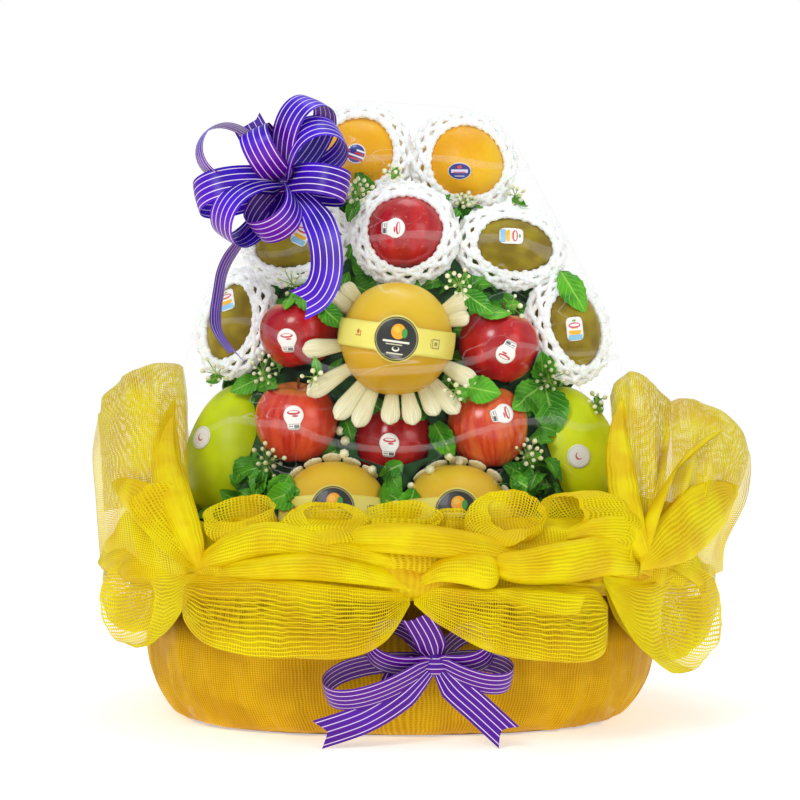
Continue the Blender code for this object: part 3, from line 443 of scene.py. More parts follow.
# length and thickness of a stem
APPLE_STEM = (0.013, 0.0012)
apple_skins = {}
for name, (ground, streak, low, high) in APPLE_FINISH.items():
    made, tree, shader = new_material("apple_skin_" + name, {"Roughness": 0.24, "Coat Weight": 0.15,
            "Coat Roughness": 0.10})
    grain, place = skin_inputs(tree)
    sun = use_effect(tree, streaks, {"Grain": grain, "Fineness": 2.6, "Along": 0.7, "Low": low, "High": high})
    fine = use_effect(tree, streaks, {"Grain": grain, "Fineness": 9.0, "Along": 1.6, "Low": 0.42, "High": 0.72})
    pores = use_effect(tree, dots, {"Vector": place, "Spacing": 0.0052, "Size": 0.13})
    skin = blend_colours(tree, sun, streak, ground)
    skin = tinged(tree, skin, ground, fine, 0.42)
    hollow = remap(tree, part_of(tree, grain, "Z"), 0.70, 0.86, 0.0, 0.55, soft=True)
    skin = blend_colours(tree, hollow, skin, "D9A84A")
    skin = tinged(tree, skin, "F2B48A", pores, 0.5)
    feed(tree, shader, {"Base Color": skin})
    apple_skins[name] = made
for seed, (node, (radius, half, degrees, finish)) in enumerate(APPLES.items()):
    skin = apple_skins[finish]
    fruit_pieces[node] = grow_fruit(node, "apple", radius, half, degrees, skin, 10 + seed, APPLE_STEM)

# ---------------------------------------------------------------- large pears
# Big round pears with a golden russet skin, matt and finely dotted, brighter where the light
# reaches the crown.
PEARS = {
    "pear_middle": (0.0490, 0.0505, (-28, 0, 0)), "pear_low_left": (0.0495, 0.0505, (-28, 0, 0)),
    "pear_low_right": (0.0495, 0.0505, (-28, 0, 0)), "back_pear": (0.0530, 0.0490, (-8, 0, 0)),
    "back_pear_low_left": (0.0520, 0.0480, (0, 0, 0)), "back_pear_low_right": (0.0520, 0.0480, (0, 0, 0)),
}
PEAR_STEM = (0.006, 0.0018)
pear_skin, tree, shader = new_material("pear_skin", {"Roughness": 0.36, "Specular IOR Level": 0.32})
grain, place = skin_inputs(tree)
crown = remap(tree, part_of(tree, grain, "Z"), -0.7, 0.75, soft=True)
patches = cloudy(tree, place, 0.028, 0.36, 0.66)
specks = use_effect(tree, dots, {"Vector": place, "Spacing": 0.0028, "Size": 0.22})
skin = blend_colours(tree, crown, "D0A218", "E8C834")
skin = tinged(tree, skin, "E3AE28", patches, 0.35)
skin = tinged(tree, skin, "C08A2C", specks, 0.40)
finish_skin(tree, shader, skin, patches.outputs["Grain"], 0.12, 0.0004)
for seed, (node, (radius, half, degrees)) in enumerate(PEARS.items()):
    fruit_pieces[node] = grow_fruit(node, "pear", radius, half, degrees, pear_skin, 30 + seed, PEAR_STEM)

# ---------------------------------------------------------------- golden kiwis
# Smooth golden kiwis, olive brown with a short bloom of fuzz that dulls the skin.
KIWIS = {
    "kiwi_upper_left": (0.0270, 0.0405, (0, 80, 0)),
    "kiwi_upper_right": (0.0270, 0.0405, (0, 97, 0)),
    "kiwi_lower_left": (0.0260, 0.0400, (0, 16, 0)),
    "kiwi_lower_right": (0.0290, 0.0390, (0, -16, 0)),
}
kiwi_skin, tree, shader = new_material("kiwi_skin", {"Roughness": 0.55, "Specular IOR Level": 0.25})
grain, place = skin_inputs(tree)
patches = cloudy(tree, place, 0.022, 0.34, 0.68)
fuzz = use_effect(tree, streaks, {"Grain": grain, "Fineness": 26.0, "Along": 6.0, "Low": 0.40, "High": 0.66})
skin = blend_colours(tree, patches, "7E6A0C", "A4921C")
skin = tinged(tree, skin, "6E560C", fuzz, 0.35)
finish_skin(tree, shader, skin, patches.outputs["Grain"], 0.35, 0.0005)
for seed, (node, (radius, half, degrees)) in enumerate(KIWIS.items()):
    fruit_pieces[node] = grow_fruit(node, "kiwi", radius, half, degrees, kiwi_skin, 40 + seed)

# ---------------------------------------------------------------- small melons
# Two small smooth melons, one at each side, narrower at the top.  The right one is a brighter
# lime yellow than the left.
MELONS = {
    "melon_left": (0.0465, 0.0650, (0, 6, 0), "B8CE00", "D8EC08"),
    "melon_right": (0.0475, 0.0650, (0, -7, 0), "CADC00", "E8F408"),
}
for seed, (node, (radius, half, degrees, shade, bright)) in enumerate(MELONS.items()):
    rind, tree, shader = new_material("rind_" + node, {"Roughness": 0.38, "Specular IOR Level": 0.3})
    grain, place = skin_inputs(tree)
    patches = cloudy(tree, place, 0.045, 0.32, 0.68)
    veins = use_effect(tree, streaks, {"Grain": grain, "Fineness": 3.2, "Along": 0.8, "Low": 0.40, "High": 0.75})
    skin = blend_colours(tree, patches, shade, bright)
    skin = tinged(tree, skin, bright, veins, 0.4)
    finish_skin(tree, shader, skin, patches.outputs["Grain"], 0.15, 0.0005)
    fruit_pieces[node] = grow_fruit(node, "melon", radius, half, degrees, rind, 50 + seed)

# ---------------------------------------------------------------- packed leaves
# The heap stands on a mound of leatherleaf and shredded green, pressed into the shape of the
# fruit.  Loose serrated leaves cover it wherever a gap is left between the fruit.
LEAF_LENGTH = 0.030
LEAF_WIDTH = 0.019
LEAF_SPACING = 0.0085
# leaves grow where the bed is this far from any fruit, and above this height
LEAF_ROOM = 0.0075
LEAF_FLOOR = 0.150


def fill_grid(work, layer, grid, flip=False):
    """Faces between rows of vertices, each given with its UV."""
    for low, high in zip(grid, grid[1:]):
        for k in range(len(low) - 1):
            corners = (low[k], low[k + 1], high[k + 1], high[k])
            corners = corners[::-1] if flip else corners
            face = work.faces.new([corner[0] for corner in corners])
            for loop, corner in zip(face.loops, corners):
                loop[layer].uv = corner[1]


def mesh_from(work, name):
    """Turns the work into a plain mesh."""
    data = bpy.data.meshes.new(name)
    work.to_mesh(data)
    work.free()
    return data


def surface_of(made):
    """The surface of a piece, to be met by rays or nearest points."""
    return BVHTree.FromPolygons([v.co for v in made.data.vertices], [tuple(p.vertices) for p in made.data.polygons])


def thicken(made, thickness, offset=0.0):
    """Gives a thin piece its thickness."""
    wall = made.modifiers.new("thickness", "SOLIDIFY")
    wall.thickness, wall.offset = thickness, offset


def leaf_blade(length, width, rows, curl, fold):
    """A serrated leaf that lies along +Y from its foot, face up, with UVs across and along it."""
    work = bmesh.new()
    layer = work.loops.layers.uv.new("leaf")
    grid = []
    for i in range(rows + 1):
        t = i / rows
        wide = math.sin(math.pi * min(1.0, t * 0.96 + 0.03)) ** 0.72 * (1.10 - 0.42 * t)
        wide *= 1.10 if i % 2 else 1.0
        row = []
        for side in (-1.0, -0.55, 0.0, 0.55, 1.0):
            back = (-0.035 if abs(side) == 1.0 and i % 2 else 0.0) + 0.06 * abs(side)
            x = side * width * 0.5 * wide
            y = length * min(1.0, max(0.0, t + back * (1 - t)))
            z = fold * abs(x) + curl * length * (t - 0.5) ** 2 * -1.0 - 0.10 * abs(x) * math.sin(t * 9.0)
            row.append((work.verts.new((x, y, z)), (side * 0.5 + 0.5, t)))
        grid.append(row)
    fill_grid(work, layer, grid)
    return work


def new_tree(name, inputs):
    """A geometry tree with a Geometry input and output and the named inputs."""
    tree = bpy.data.node_groups.new(name, "GeometryNodeTree")
    tree.interface.new_socket("Geometry", in_out="INPUT", socket_type="NodeSocketGeometry")
    for key, kind in inputs.items():
        tree.interface.new_socket(key, in_out="INPUT", socket_type="NodeSocket" + kind)
    tree.interface.new_socket("Geometry", in_out="OUTPUT", socket_type="NodeSocketGeometry")
    return tree, put(tree, "NodeGroupInput"), put(tree, "NodeGroupOutput")


def end_tree(tree, end, parts, material=None):
    """Joins the parts of a tree, makes them real and ends it, with a material for all if one is given."""
    whole = put(tree, "GeometryNodeJoinGeometry")
    for part in parts:
        tree.links.new(part.outputs[0], whole.inputs[0])
    real = put(tree, "GeometryNodeRealizeInstances", {"Geometry": whole})
    if material:
        real = put(tree, "GeometryNodeSetMaterial", {"Geometry": real, "Material": material})
    feed(tree, end, {"Geometry": real})


def grown(name, base, tree, values, materials, smooth=True):
    """Runs a geometry tree on a base mesh with its inputs, and keeps the result as a plain mesh."""
    materials = materials if isinstance(materials, list) else [materials]
    holder = bpy.data.objects.new(name + "_base", base)
    scene.collection.objects.link(holder)
    live = holder.modifiers.new("tree", "NODES")
    live.node_group = tree
    ids = {item.name: item.identifier for item in tree.interface.items_tree
           if item.item_type == "SOCKET" and item.in_out == "INPUT"}
    for key, value in values.items():
        live[ids[key]] = value
    bpy.context.view_layer.update()
    seen_now = bpy.context.evaluated_depsgraph_get()
    data = bpy.data.meshes.new_from_object(
        holder.evaluated_get(seen_now), preserve_all_data_layers=True, depsgraph=seen_now)
    bpy.data.objects.remove(holder)
    data.name = name
    slots = [materials.index(m) if m in materials else 0 for m in data.materials]
    old = [0] * len(data.polygons)
    data.polygons.foreach_get("material_index", old)
    made = show(name, data, materials, smooth)
    data.polygons.foreach_set("material_index", [slots[k] if slots else 0 for k in old])
    return made


def leaf_material(name, dark, light, vein_code):
    """A matt leaf with a midrib and slanting side veins."""
    made, tree, shader = new_material(name, {
        "Roughness": 0.42, "Specular IOR Level": 0.25, "Subsurface Weight": 0.05, "Subsurface Scale": 0.002})
    blade = put(tree, "UVMap", uv_map="leaf")
    place = object_space(tree)
    parts = put(tree, "SeparateXYZ", {0: blade})
    off = calc(tree, "ABSOLUTE", calc(tree, "SUBTRACT", parts.outputs["X"], 0.5))
    rib = remap(tree, off, 0.015, 0.05, 1.0, 0.0)
    slant = calc(tree, "MULTIPLY_ADD", off, -0.55, parts.outputs["Y"])
    side_veins = calc(tree, "SINE", calc(tree, "MULTIPLY", slant, 48.0))
    vein = remap(tree, side_veins, 0.80, 1.0, 0.0, 0.6)
    both = calc(tree, "MAXIMUM", rib, vein)
    patches = cloudy(tree, place, 0.022, 0.36, 0.64)
    skin = blend_colours(tree, patches, dark, light)
    skin = blend_colours(tree, both, skin, vein_code)
    finish_skin(tree, shader, skin, both, 0.3, 0.0004)
    return made


leaf_blade_green = leaf_material("leaf_blade_green", "26700F", "489A1A", "86BE44")
packed_green, tree, shader = new_material("packed_green", {"Roughness": 0.75})
place = object_space(tree)
patches = cloudy(tree, place, 0.014, 0.30, 0.62)
skin = blend_colours(tree, patches, "0C2A14", "2C6430")
finish_skin(tree, shader, skin, patches.outputs["Grain"], 0.8, 0.002)

core = bmesh.new()
core.from_mesh(frame["nodes"]["leaf_bed"].data)
bmesh.ops.remove_doubles(core, verts=core.verts, dist=0.00002)
bmesh.ops.subdivide_edges(core, edges=[e for e in core.edges if e.calc_length() > 0.014], cuts=2, use_grid_fill=True)
bmesh.ops.triangulate(core, faces=core.faces)
core.verts.ensure_lookup_table()
fruit_trees = {node: surface_of(made) for node, made in fruit_pieces.items()}
openness = core.verts.layers.float.new("open")
for vert in core.verts:
    gap = 0.03
    for tree_of in fruit_trees.values():
        near, normal, _, distance = tree_of.find_nearest(vert.co, 0.03)
        if near is not None:
            gap = min(gap, distance if (vert.co - near).dot(normal) > 0 else 0.0)
    vert[openness] = 1.0 if gap > LEAF_ROOM and vert.co.z > LEAF_FLOOR else 0.0
bed_base = mesh_from(core, "packed_leaves")
bed_core = show("packed_leaves", bed_base.copy(), packed_green)
belong(bed_core, "leaf_bed")

tree, start, end = new_tree("scatter_leaves", {"Leaf": "Object", "Spacing": "Float", "Seed": "Int"})
where = put(tree, "GeometryNodeInputNamedAttribute", {"Name": "open"}, data_type="FLOAT")
crowd = calc(tree, "POWER", calc(tree, "DIVIDE", 1.0, start.outputs["Spacing"]), 2.0)
points = put(tree, "GeometryNodeDistributePointsOnFaces", {
    "Mesh": start.outputs["Geometry"], "Distance Min": start.outputs["Spacing"], "Density Max": crowd,
    "Density Factor": where.outputs["Attribute"], "Seed": start.outputs["Seed"]}, distribute_method="POISSON")
leaf_info = put(tree, "GeometryNodeObjectInfo", {"Object": start.outputs["Leaf"], "As Instance": True})
low_turn = put(tree, "CombineXYZ", {"X": -0.3, "Y": -0.5, "Z": -3.14})
high_turn = put(tree, "CombineXYZ", {"X": 0.8, "Y": 0.5, "Z": 3.14})
spin = put(tree, "FunctionNodeRandomValue", {"Min": low_turn, "Max": high_turn}, data_type="FLOAT_VECTOR")
spin = put(tree, "FunctionNodeEulerToRotation", {0: spin.outputs["Value"]})
size = put(tree, "FunctionNodeRandomValue", {2: 0.65, 3: 1.15}, data_type="FLOAT")
turned_points = put(tree, "FunctionNodeRotateRotation", {0: points.outputs["Rotation"], 1: spin},
                    rotation_space="LOCAL")
laid = put(tree, "GeometryNodeInstanceOnPoints", {
    "Points": points.outputs["Points"], "Instance": leaf_info.outputs["Geometry"], "Rotation": turned_points,
    "Scale": size.outputs[1]})
end_tree(tree, end, [laid], leaf_blade_green)

one_leaf = show("one_leaf", leaf_blade(LEAF_LENGTH, LEAF_WIDTH, 10, 0.9, 0.35), leaf_blade_green)
loose_leaves = grown("loose_leaves", bed_base, tree, {"Leaf": one_leaf, "Spacing": LEAF_SPACING, "Seed": 7},
                     leaf_blade_green)
bpy.data.objects.remove(one_leaf)
belong(loose_leaves)

# ---------------------------------------------------------------- foam sleeves
# Seven of the upper fruit sit in stretched sleeves of white foam net: soft strands welded in
# diamonds, with fat welds.  Each sleeve is pulled over the fruit's back, and its mouth is turned out.
SLEEVED = {**ORANGES, "apple_sleeved": APPLES["apple_sleeved"][:3], **KIWIS}
SLEEVE_COLUMNS = 15
STRAND_RADIUS = 0.0026
WELD_RADIUS = 0.0037
KNOB_SPACING = 0.0064
# from the mouth back: angle from the way the fruit looks, and distance off its skin
SLEEVE_PROFILE = [(63, 0.0034), (68, 0.0066), (74, 0.0092), (82, 0.0102), (91, 0.0096), (101, 0.0084), (111, 0.0073),
                  (121, 0.0064), (132, 0.0057), (143, 0.0052), (155, 0.0048), (168, 0.0046)]

# painted light: the foam glows faintly white of its own accord, standing in for light that passes through it
foam_white, tree, shader = new_material("foam_white", {
    "Roughness": 0.62, "Subsurface Weight": 0.3, "Subsurface Scale": 0.004, "Emission Color": colour("FFFFFF"),
    "Emission Strength": 0.10})
place = object_space(tree)
patches = cloudy(tree, place, 0.008, 0.3, 0.7)
skin = blend_colours(tree, patches, "F1F0EC", "FCFCFA")
finish_skin(tree, shader, skin, patches.outputs["Grain"], 0.25, 0.0006)

foam_net, start, end = new_tree("foam_net", {
    "Strand radius": "Float", "Weld radius": "Float", "Knob spacing": "Float", "Seed": "Int"})
tree = foam_net
lines = put(tree, "GeometryNodeMeshToCurve", {"Mesh": start.outputs["Geometry"]})
ring = put(tree, "GeometryNodeCurvePrimitiveCircle", {"Resolution": 6, "Radius": start.outputs["Strand radius"]})
strands = put(tree, "GeometryNodeCurveToMesh", {"Curve": lines, "Profile Curve": ring})
ball = put(tree, "GeometryNodeMeshUVSphere", {"Segments": 7, "Rings": 5, "Radius": start.outputs["Weld radius"]})
size = put(tree, "FunctionNodeRandomValue", {2: 0.82, 3: 1.16, "Seed": start.outputs["Seed"]}, data_type="FLOAT")
welds = put(tree, "GeometryNodeInstanceOnPoints", {
    "Points": start.outputs["Geometry"], "Instance": ball, "Scale": size.outputs[1]})
beaded = put(tree, "GeometryNodeResampleCurve", {
    "Curve": lines, "Length": start.outputs["Knob spacing"]}, mode="LENGTH")
small = calc(tree, "MULTIPLY", size.outputs[1], 0.92)
knobs = put(tree, "GeometryNodeInstanceOnPoints", {"Points": beaded, "Instance": ball, "Scale": small})
end_tree(tree, end, [strands, welds, knobs], foam_white)

for seed, (node, (radius, half, degrees)) in enumerate(SLEEVED.items()):
    draw = random.Random(60 + seed)
    turn, centre = turned(degrees), middle_of(node)
    look = Vector((centre.x * 0.6, -0.16, 0.02)).normalized()
    size = Vector((radius, radius, half))
    out = turn.transposed() @ look
    out = Vector([a / b for a, b in zip(out, size)]).normalized()
    right = out.orthogonal().normalized()
    up = right.cross(out)
    columns = SLEEVE_COLUMNS if half < 0.0385 else SLEEVE_COLUMNS - 2
    work = bmesh.new()
    rows = []
    for i, (polar, off) in enumerate(SLEEVE_PROFILE):
        row = []
        for k in range(columns):
            around = 2 * math.pi * (k + 0.5 * (i % 2)) / columns
            bend = math.radians(polar + draw.uniform(-1.2, 1.2) + 2.6 * math.sin(3 * around + seed * 1.7))
            flat = right * math.cos(around) + up * math.sin(around)
            unit = out * math.cos(bend) + flat * math.sin(bend)
            spot = Vector([a * (b + off * draw.uniform(0.9, 1.12)) for a, b in zip(unit, size)])
            row.append(work.verts.new(centre + turn @ spot))
        rows.append(row)
    for i, (low, high) in enumerate(zip(rows, rows[1:])):
        for k in range(columns):
            other = (k + (1 if i % 2 else -1)) % columns
            work.edges.new((low[k], high[k]))
            work.edges.new((low[k], high[other]))
    for k in range(columns):
        work.edges.new((rows[0][k], rows[0][(k + 1) % columns]))
    sleeve = grown("foam_sleeve_" + node, mesh_from(work, "sleeve_net"), foam_net,
                   {"Strand radius": STRAND_RADIUS, "Weld radius": WELD_RADIUS, "Knob spacing": KNOB_SPACING,
                    "Seed": seed}, foam_white)
    belong(sleeve, "sleeve_" + node)

# ---------------------------------------------------------------- petal collars
# The large pears at the front wear collars of pale foam sheet, cut into round-ended fingers that
# fan out from behind the girth.  The low pears show only a few fingers above the net.
# node: pear, direction in degrees and reach of each tip, how far they lean forward, set forward
LOW_PETALS = [(0, 0.0540), (20, 0.0548), (40, 0.0556), (60, 0.0556), (80, 0.0548), (100, 0.0540)]
COLLARS = {
    "petals_middle": ("pear_middle", [(19, 0.066), (30, 0.072), (60, 0.048), (85, 0.048), (110, 0.048), (136, 0.067),
        (148, 0.070), (188, 0.082), (212, 0.092), (233, 0.088), (246, 0.083), (265, 0.075),
        (281, 0.078), (298, 0.077), (309, 0.083), (331, 0.080)], 0.46, 0.005),
    "petals_low_left": ("pear_low_left", [(52 + turn, tip) for turn, tip in LOW_PETALS], 1.3, 0.000),
    "petals_low_right": ("pear_low_right", [(28 + turn, tip) for turn, tip in LOW_PETALS], 1.3, 0.000),
}
PETAL_INNER = 0.0525
PETAL_WIDTH = 0.0158
PETAL_THICK = 0.0015
petal_foam, tree, shader = new_material("petal_foam", {"Roughness": 0.6, "Subsurface Weight": 0.2,
        "Subsurface Scale": 0.003})
own = put(tree, "UVMap", uv_map="petal")
place = object_space(tree)
parts = put(tree, "SeparateXYZ", {0: own})
stretch = calc_vector(tree, "MULTIPLY", own, (16.0, 1.6, 0.0))
fibre = put(tree, "TexNoise", {"Vector": stretch, "Scale": 1.0, "Detail": 4.0})
patches = cloudy(tree, place, 0.018, 0.3, 0.7)
# painted shade: each finger is darker towards its root, where it tucks behind the pear's girth, and paler towards its
# tip
skin = blend_colours(tree, parts.outputs["Y"], "E2DCA8", "FAF6DA")
fade = remap(tree, fibre, 0.35, 0.72, 0.0, 0.55)
skin = blend_colours(tree, fade, skin, "B9B26E")
finish_skin(tree, shader, skin, fibre, 0.4, 0.0007)

for seed, (node, (pear, reaches, lean, forward)) in enumerate(COLLARS.items()):
    draw = random.Random(80 + seed)
    centre = middle_of(pear) + Vector((0, -forward, 0))
    work = bmesh.new()
    layer = work.loops.layers.uv.new("petal")
    for toward, tip in reaches:
        heading = math.radians(toward + draw.uniform(-1.0, 1.0))
        reach = tip * draw.uniform(0.98, 1.02)
        start_at = PETAL_INNER - 0.008
        ahead = Vector((math.cos(heading), 0, math.sin(heading)))
        beside = Vector((-math.sin(heading), 0, math.cos(heading)))
        lift = draw.uniform(-0.0012, 0.0012)
        droop = draw.uniform(0.6, 1.6)
        grid = []
        for i in range(13):
            t = i / 12
            out = start_at + (reach - start_at) * t
            end_round = math.sqrt(max(0.0, 1 - max(0.0, (t - 0.72) / 0.28) ** 2.2))
            wide = PETAL_WIDTH * 0.5 * (0.56 + 0.48 * min(1.0, t * 1.5)) * max(end_round, 0.10)
            row = []
            for j in range(7):
                side = j / 3 - 1
                depth = -(out - PETAL_INNER) * lean + 0.0022 * side * side + lift
                depth += 0.0040 * droop * max(0, t - 0.62) ** 1.5
                row.append((work.verts.new(centre + ahead * out + beside * (wide * side) + Vector((0, depth, 0))),
                            (j / 6, t)))
            grid.append(row)
        fill_grid(work, layer, grid)
    petals = show(node + "_foam", work, petal_foam)
    thicken(petals, PETAL_THICK)
    belong(petals, node)

# ---------------------------------------------------------------- paper bands with round labels
# A strip of yellow paper crosses the front of each large pear and carries a round printed label:
# a dark field in a cream ring, with a small painted fruit and leaf, and plain strokes below it.
BAND_HALF_WIDTH = 0.0118
LABEL_RADIUS = 0.0205
PAPER_THICK = 0.0006
# node: pear, tilt, turn upwards and half sweep in degrees
BANDS = {"band_pear_middle": ("pear_middle", 8, 0, 80), "band_pear_low_left": ("pear_low_left", 0, 14, 66),
         "band_pear_low_right": ("pear_low_right", 2, 14, 66)}


def inside_oval(tree, x, y, middle_x, middle_y, half_x, half_y, soft=0.04):
    """Mask of an oval in a pair of coordinates."""
    a = calc(tree, "SUBTRACT", x, middle_x)
    a = calc(tree, "DIVIDE", a, half_x)
    b = calc(tree, "SUBTRACT", y, middle_y)
    b = calc(tree, "DIVIDE", b, half_y)
    a = calc(tree, "POWER", a, 2.0)
    b = calc(tree, "MULTIPLY_ADD", b, b, a)
    return remap(tree, b, 1.0 - soft, 1.0 + soft, 1.0, 0.0)


def inside_box(tree, x, y, middle_x, middle_y, half_x, half_y):
    """Mask of a rectangle in a pair of coordinates."""
    a = calc(tree, "COMPARE", x, middle_x, half_x)
    b = calc(tree, "COMPARE", y, middle_y, half_y)
    return calc(tree, "MULTIPLY", a, b)


def print_on(tree, uv_map, base, marks):
    """Paints oval and box marks over a base colour, in millimetres from the middle of the print."""
    own = put(tree, "UVMap", uv_map=uv_map)
    parts = put(tree, "SeparateXYZ", {0: own})
    skin = base
    for kind, middle_x, middle_y, half_x, half_y, code in marks:
        inside = inside_oval if kind == "oval" else inside_box
        mask = inside(tree, parts.outputs["X"], parts.outputs["Y"], middle_x, middle_y, half_x, half_y)
        skin = blend_colours(tree, mask, skin, code)
    return skin


def paper_grain(tree, scale):
    """Bump of the fibres of paper."""
    place = object_space(tree)
    fibres = put(tree, "TexNoise", {"Vector": place, "Scale": scale, "Detail": 3.0})
    return put(tree, "Bump", {"Height": fibres, "Strength": 0.12, "Distance": 0.0003})


LABEL_PRINT = [
    ("oval", 0, 0, 20.6, 20.6, "E9DD6A"), ("oval", 0, 0, 19.0, 19.0, "23241E"), ("oval", 0, 0, 17.9, 17.9, "D8CF80"),
    ("oval", 0, 0, 17.5, 17.5, "1D1F1B"), ("oval", 0.8, 6.4, 6.2, 6.6, "F3A414"),
    ("oval", -0.6, 8.0, 3.0, 2.8, "FBC23C"),
    ("oval", 6.2, 5.6, 2.4, 4.2, "3E9A38"), ("box", 0, -2.4, 11.4, 0.9, "E8E6D2"),
    ("box", -1.5, -4.9, 7.0, 0.5, "C8C4A4"),
    ("oval", 0.4, -8.6, 3.2, 2.2, "E8E6D2"), ("oval", 0.4, -7.9, 2.2, 1.5, "1D1F1B"),
    ("box", 0, -12.6, 7.2, 0.6, "D8D4B4"),
    ("box", -36.0, -1.2, 2.6, 0.5, "C77A2A"), ("oval", -36.0, 2.0, 1.5, 2.2, "C9702A"),
    ("box", -33.2, 0.6, 0.5, 2.6, "C77A2A"),
    ("box", 37.0, 0.0, 4.2, 4.2, "9A8A3A"), ("box", 37.0, 0.0, 3.2, 3.2, "E4DA72"),
    ("box", 37.0, 0.0, 1.6, 1.6, "9A8A3A"),
    ("box", 31.5, 0.0, 0.4, 3.6, "A89A4A"),
]
paper_band, tree, shader = new_material("paper_band", {"Roughness": 0.42, "Coat Weight": 0.1})
patches = cloudy(tree, object_space(tree), 0.03)
paper = blend_colours(tree, patches, "E6DA5E", "EFE672")
feed(tree, shader, {"Base Color": print_on(tree, "print", paper, LABEL_PRINT),
                    "Normal": paper_grain(tree, 900.0)})

for node, (pear, tilt, upward, sweep) in BANDS.items():
    lean = Matrix.Rotation(math.radians(-upward), 3, "X") @ Matrix.Rotation(math.radians(tilt), 3, "Y")
    centre = middle_of(pear)
    clear = PEARS[pear][0] + 0.0028
    label = LABEL_RADIUS / clear
    work = bmesh.new()
    layer = work.loops.layers.uv.new("print")
    grid = []
    for i in range(65):
        angle = math.radians(sweep) * (i / 32 - 1)
        inside = max(0.0, 1 - (angle / label) ** 2)
        half = max(BAND_HALF_WIDTH, LABEL_RADIUS * math.sqrt(inside))
        row = []
        for j in range(9):
            side = j / 4 - 1
            reach = clear * math.cos(side * half / clear * 0.8) + (0.0004 if inside > 0 else 0.0)
            spot = centre + lean @ Vector((math.sin(angle) * reach, -math.cos(angle) * reach, half * side))
            row.append((work.verts.new(spot), (angle * clear * 1000, half * side * 1000)))
        grid.append(row)
    fill_grid(work, layer, grid, flip=True)
    band = show(node + "_paper", work, paper_band)
    thicken(band, PAPER_THICK)
    belong(band, node)

# ---------------------------------------------------------------- fruit stickers
# Small printed stickers of glossy paper, each pressed onto its fruit.  Their fields of colour are
# plain: bars, discs and stripes.
STICKER_THICK = 0.0003
# sticker: outline in millimetres as (kind, half width, half height), then its print
STICKERS = {
    "apple": ("keyhole", 8.6, 10.5, "F4F2EC", [
        ("box", 0.0, -5.6, 4.6, 0.5, "B9B9B6"), ("box", 2.4, -7.6, 2.2, 1.2, "5A5A5A"),
        ("box", -2.4, -7.4, 1.8, 0.4, "4A4A4A"),
        ("box", 0.0, -9.4, 4.2, 0.3, "8A8A88"), ("oval", 0.0, 4.4, 5.6, 2.0, "C8283A"),
        ("oval", 0.0, 4.9, 4.2, 0.9, "F4F2EC"),
        ("oval", 1.4, 1.4, 2.6, 0.8, "C8283A")]),
    "orange_round": ("oval", 8.8, 8.8, "F6F4EE", [
        ("oval", 0.0, 0.0, 8.0, 8.0, "2A3C9A"), ("box", 0.0, 3.2, 8.0, 0.8, "F6F4EE"),
        ("box", 0.0, 0.6, 8.0, 0.8, "D8303A"),
        ("box", 0.0, -2.0, 8.0, 0.8, "F6F4EE"), ("box", 0.0, -4.6, 8.0, 0.9, "D8303A"),
        ("oval", -3.4, 2.8, 3.2, 3.2, "22308A")]),
    "orange_oval": ("oval", 10.4, 7.6, "E8E4F4", [
        ("oval", 0.0, 0.0, 9.8, 7.0, "1F2C7E"), ("box", 0.0, 0.0, 7.4, 1.5, "D8D4EE"),
        ("box", 0.0, -0.9, 5.4, 0.45, "C0344A"),
        ("oval", 0.0, 3.6, 2.2, 1.4, "D23A4A"), ("box", 0.0, -4.4, 4.4, 0.45, "B9B6DC")]),
    "kiwi": ("tall", 7.4, 10.6, "F5F3EC", [
        ("oval", 0.0, 3.2, 5.4, 2.6, "D4476A"), ("oval", 0.0, 3.4, 4.2, 1.2, "F5F3EC"),
        ("oval", 0.0, -2.4, 5.6, 3.4, "F4B822"),
        ("box", 0.0, -0.6, 6.0, 0.8, "F5F3EC"), ("box", 0.0, -7.4, 6.2, 2.4, "8CC4E4"),
        ("oval", 0.0, 7.4, 2.0, 1.0, "7CB45A")]),
    "melon": ("oval", 10.6, 10.6, "F2F4E8", [
        ("oval", 0.0, 0.0, 9.4, 9.4, "C9CEB8"), ("oval", 0.0, 0.0, 8.9, 8.9, "F8F8F4"),
        ("oval", 0.0, 0.2, 3.2, 3.4, "CC5A60"),
        ("oval", 1.0, 0.9, 2.9, 2.9, "F8F8F4")]),
}
# fruit, sticker, place across and up on the front (x, z), roll in degrees
STUCK = [
    ("apple_upper_left", "apple", -0.0985, 0.3440, 4), ("apple_upper_right", "apple", 0.0930, 0.3340, 152),
    ("apple_sleeved", "apple", -0.0060, 0.4430, 268), ("apple_lower_left", "apple", -0.0925, 0.2770, 2),
    ("apple_lower_middle", "apple", -0.0095, 0.2520, -4), ("apple_lower_right", "apple", 0.0890, 0.2800, -74),
    ("orange_left", "orange_round", -0.0400, 0.5130, -20), ("orange_right", "orange_oval", 0.0540, 0.4970, 0),
    ("kiwi_upper_right", "kiwi", 0.0995, 0.4370, -92), ("kiwi_upper_left", "kiwi", -0.0880, 0.4390, -24),
    ("kiwi_lower_left", "kiwi", -0.1560, 0.3800, 12), ("kiwi_lower_right", "kiwi", 0.1560, 0.3540, 6),
    ("melon_left", "melon", -0.1790, 0.2560, 0), ("melon_right", "melon", 0.1600, 0.2400, 0),
]


def edge_of(kind, half_x, half_y, angle):
    """Half size of a sticker's outline at an angle."""
    x, y = math.cos(angle), math.sin(angle)
    if kind == "oval":
        return Vector((x * half_x, y * half_y))
    if kind == "tall":
        scale = (abs(x) ** 5 + abs(y) ** 5) ** -0.2
        return Vector((x * scale * half_x, y * scale * half_y))
    # a round head over a narrower foot
    scale = (abs(x) ** 6 + abs(y) ** 6) ** (-1 / 6)
    foot = Vector((x * scale * half_x * 0.66, y * scale * half_y))
    head_y = half_y - half_x
    head = Vector((x * half_x, y * half_x + head_y))
    return head if y > -0.42 else foot


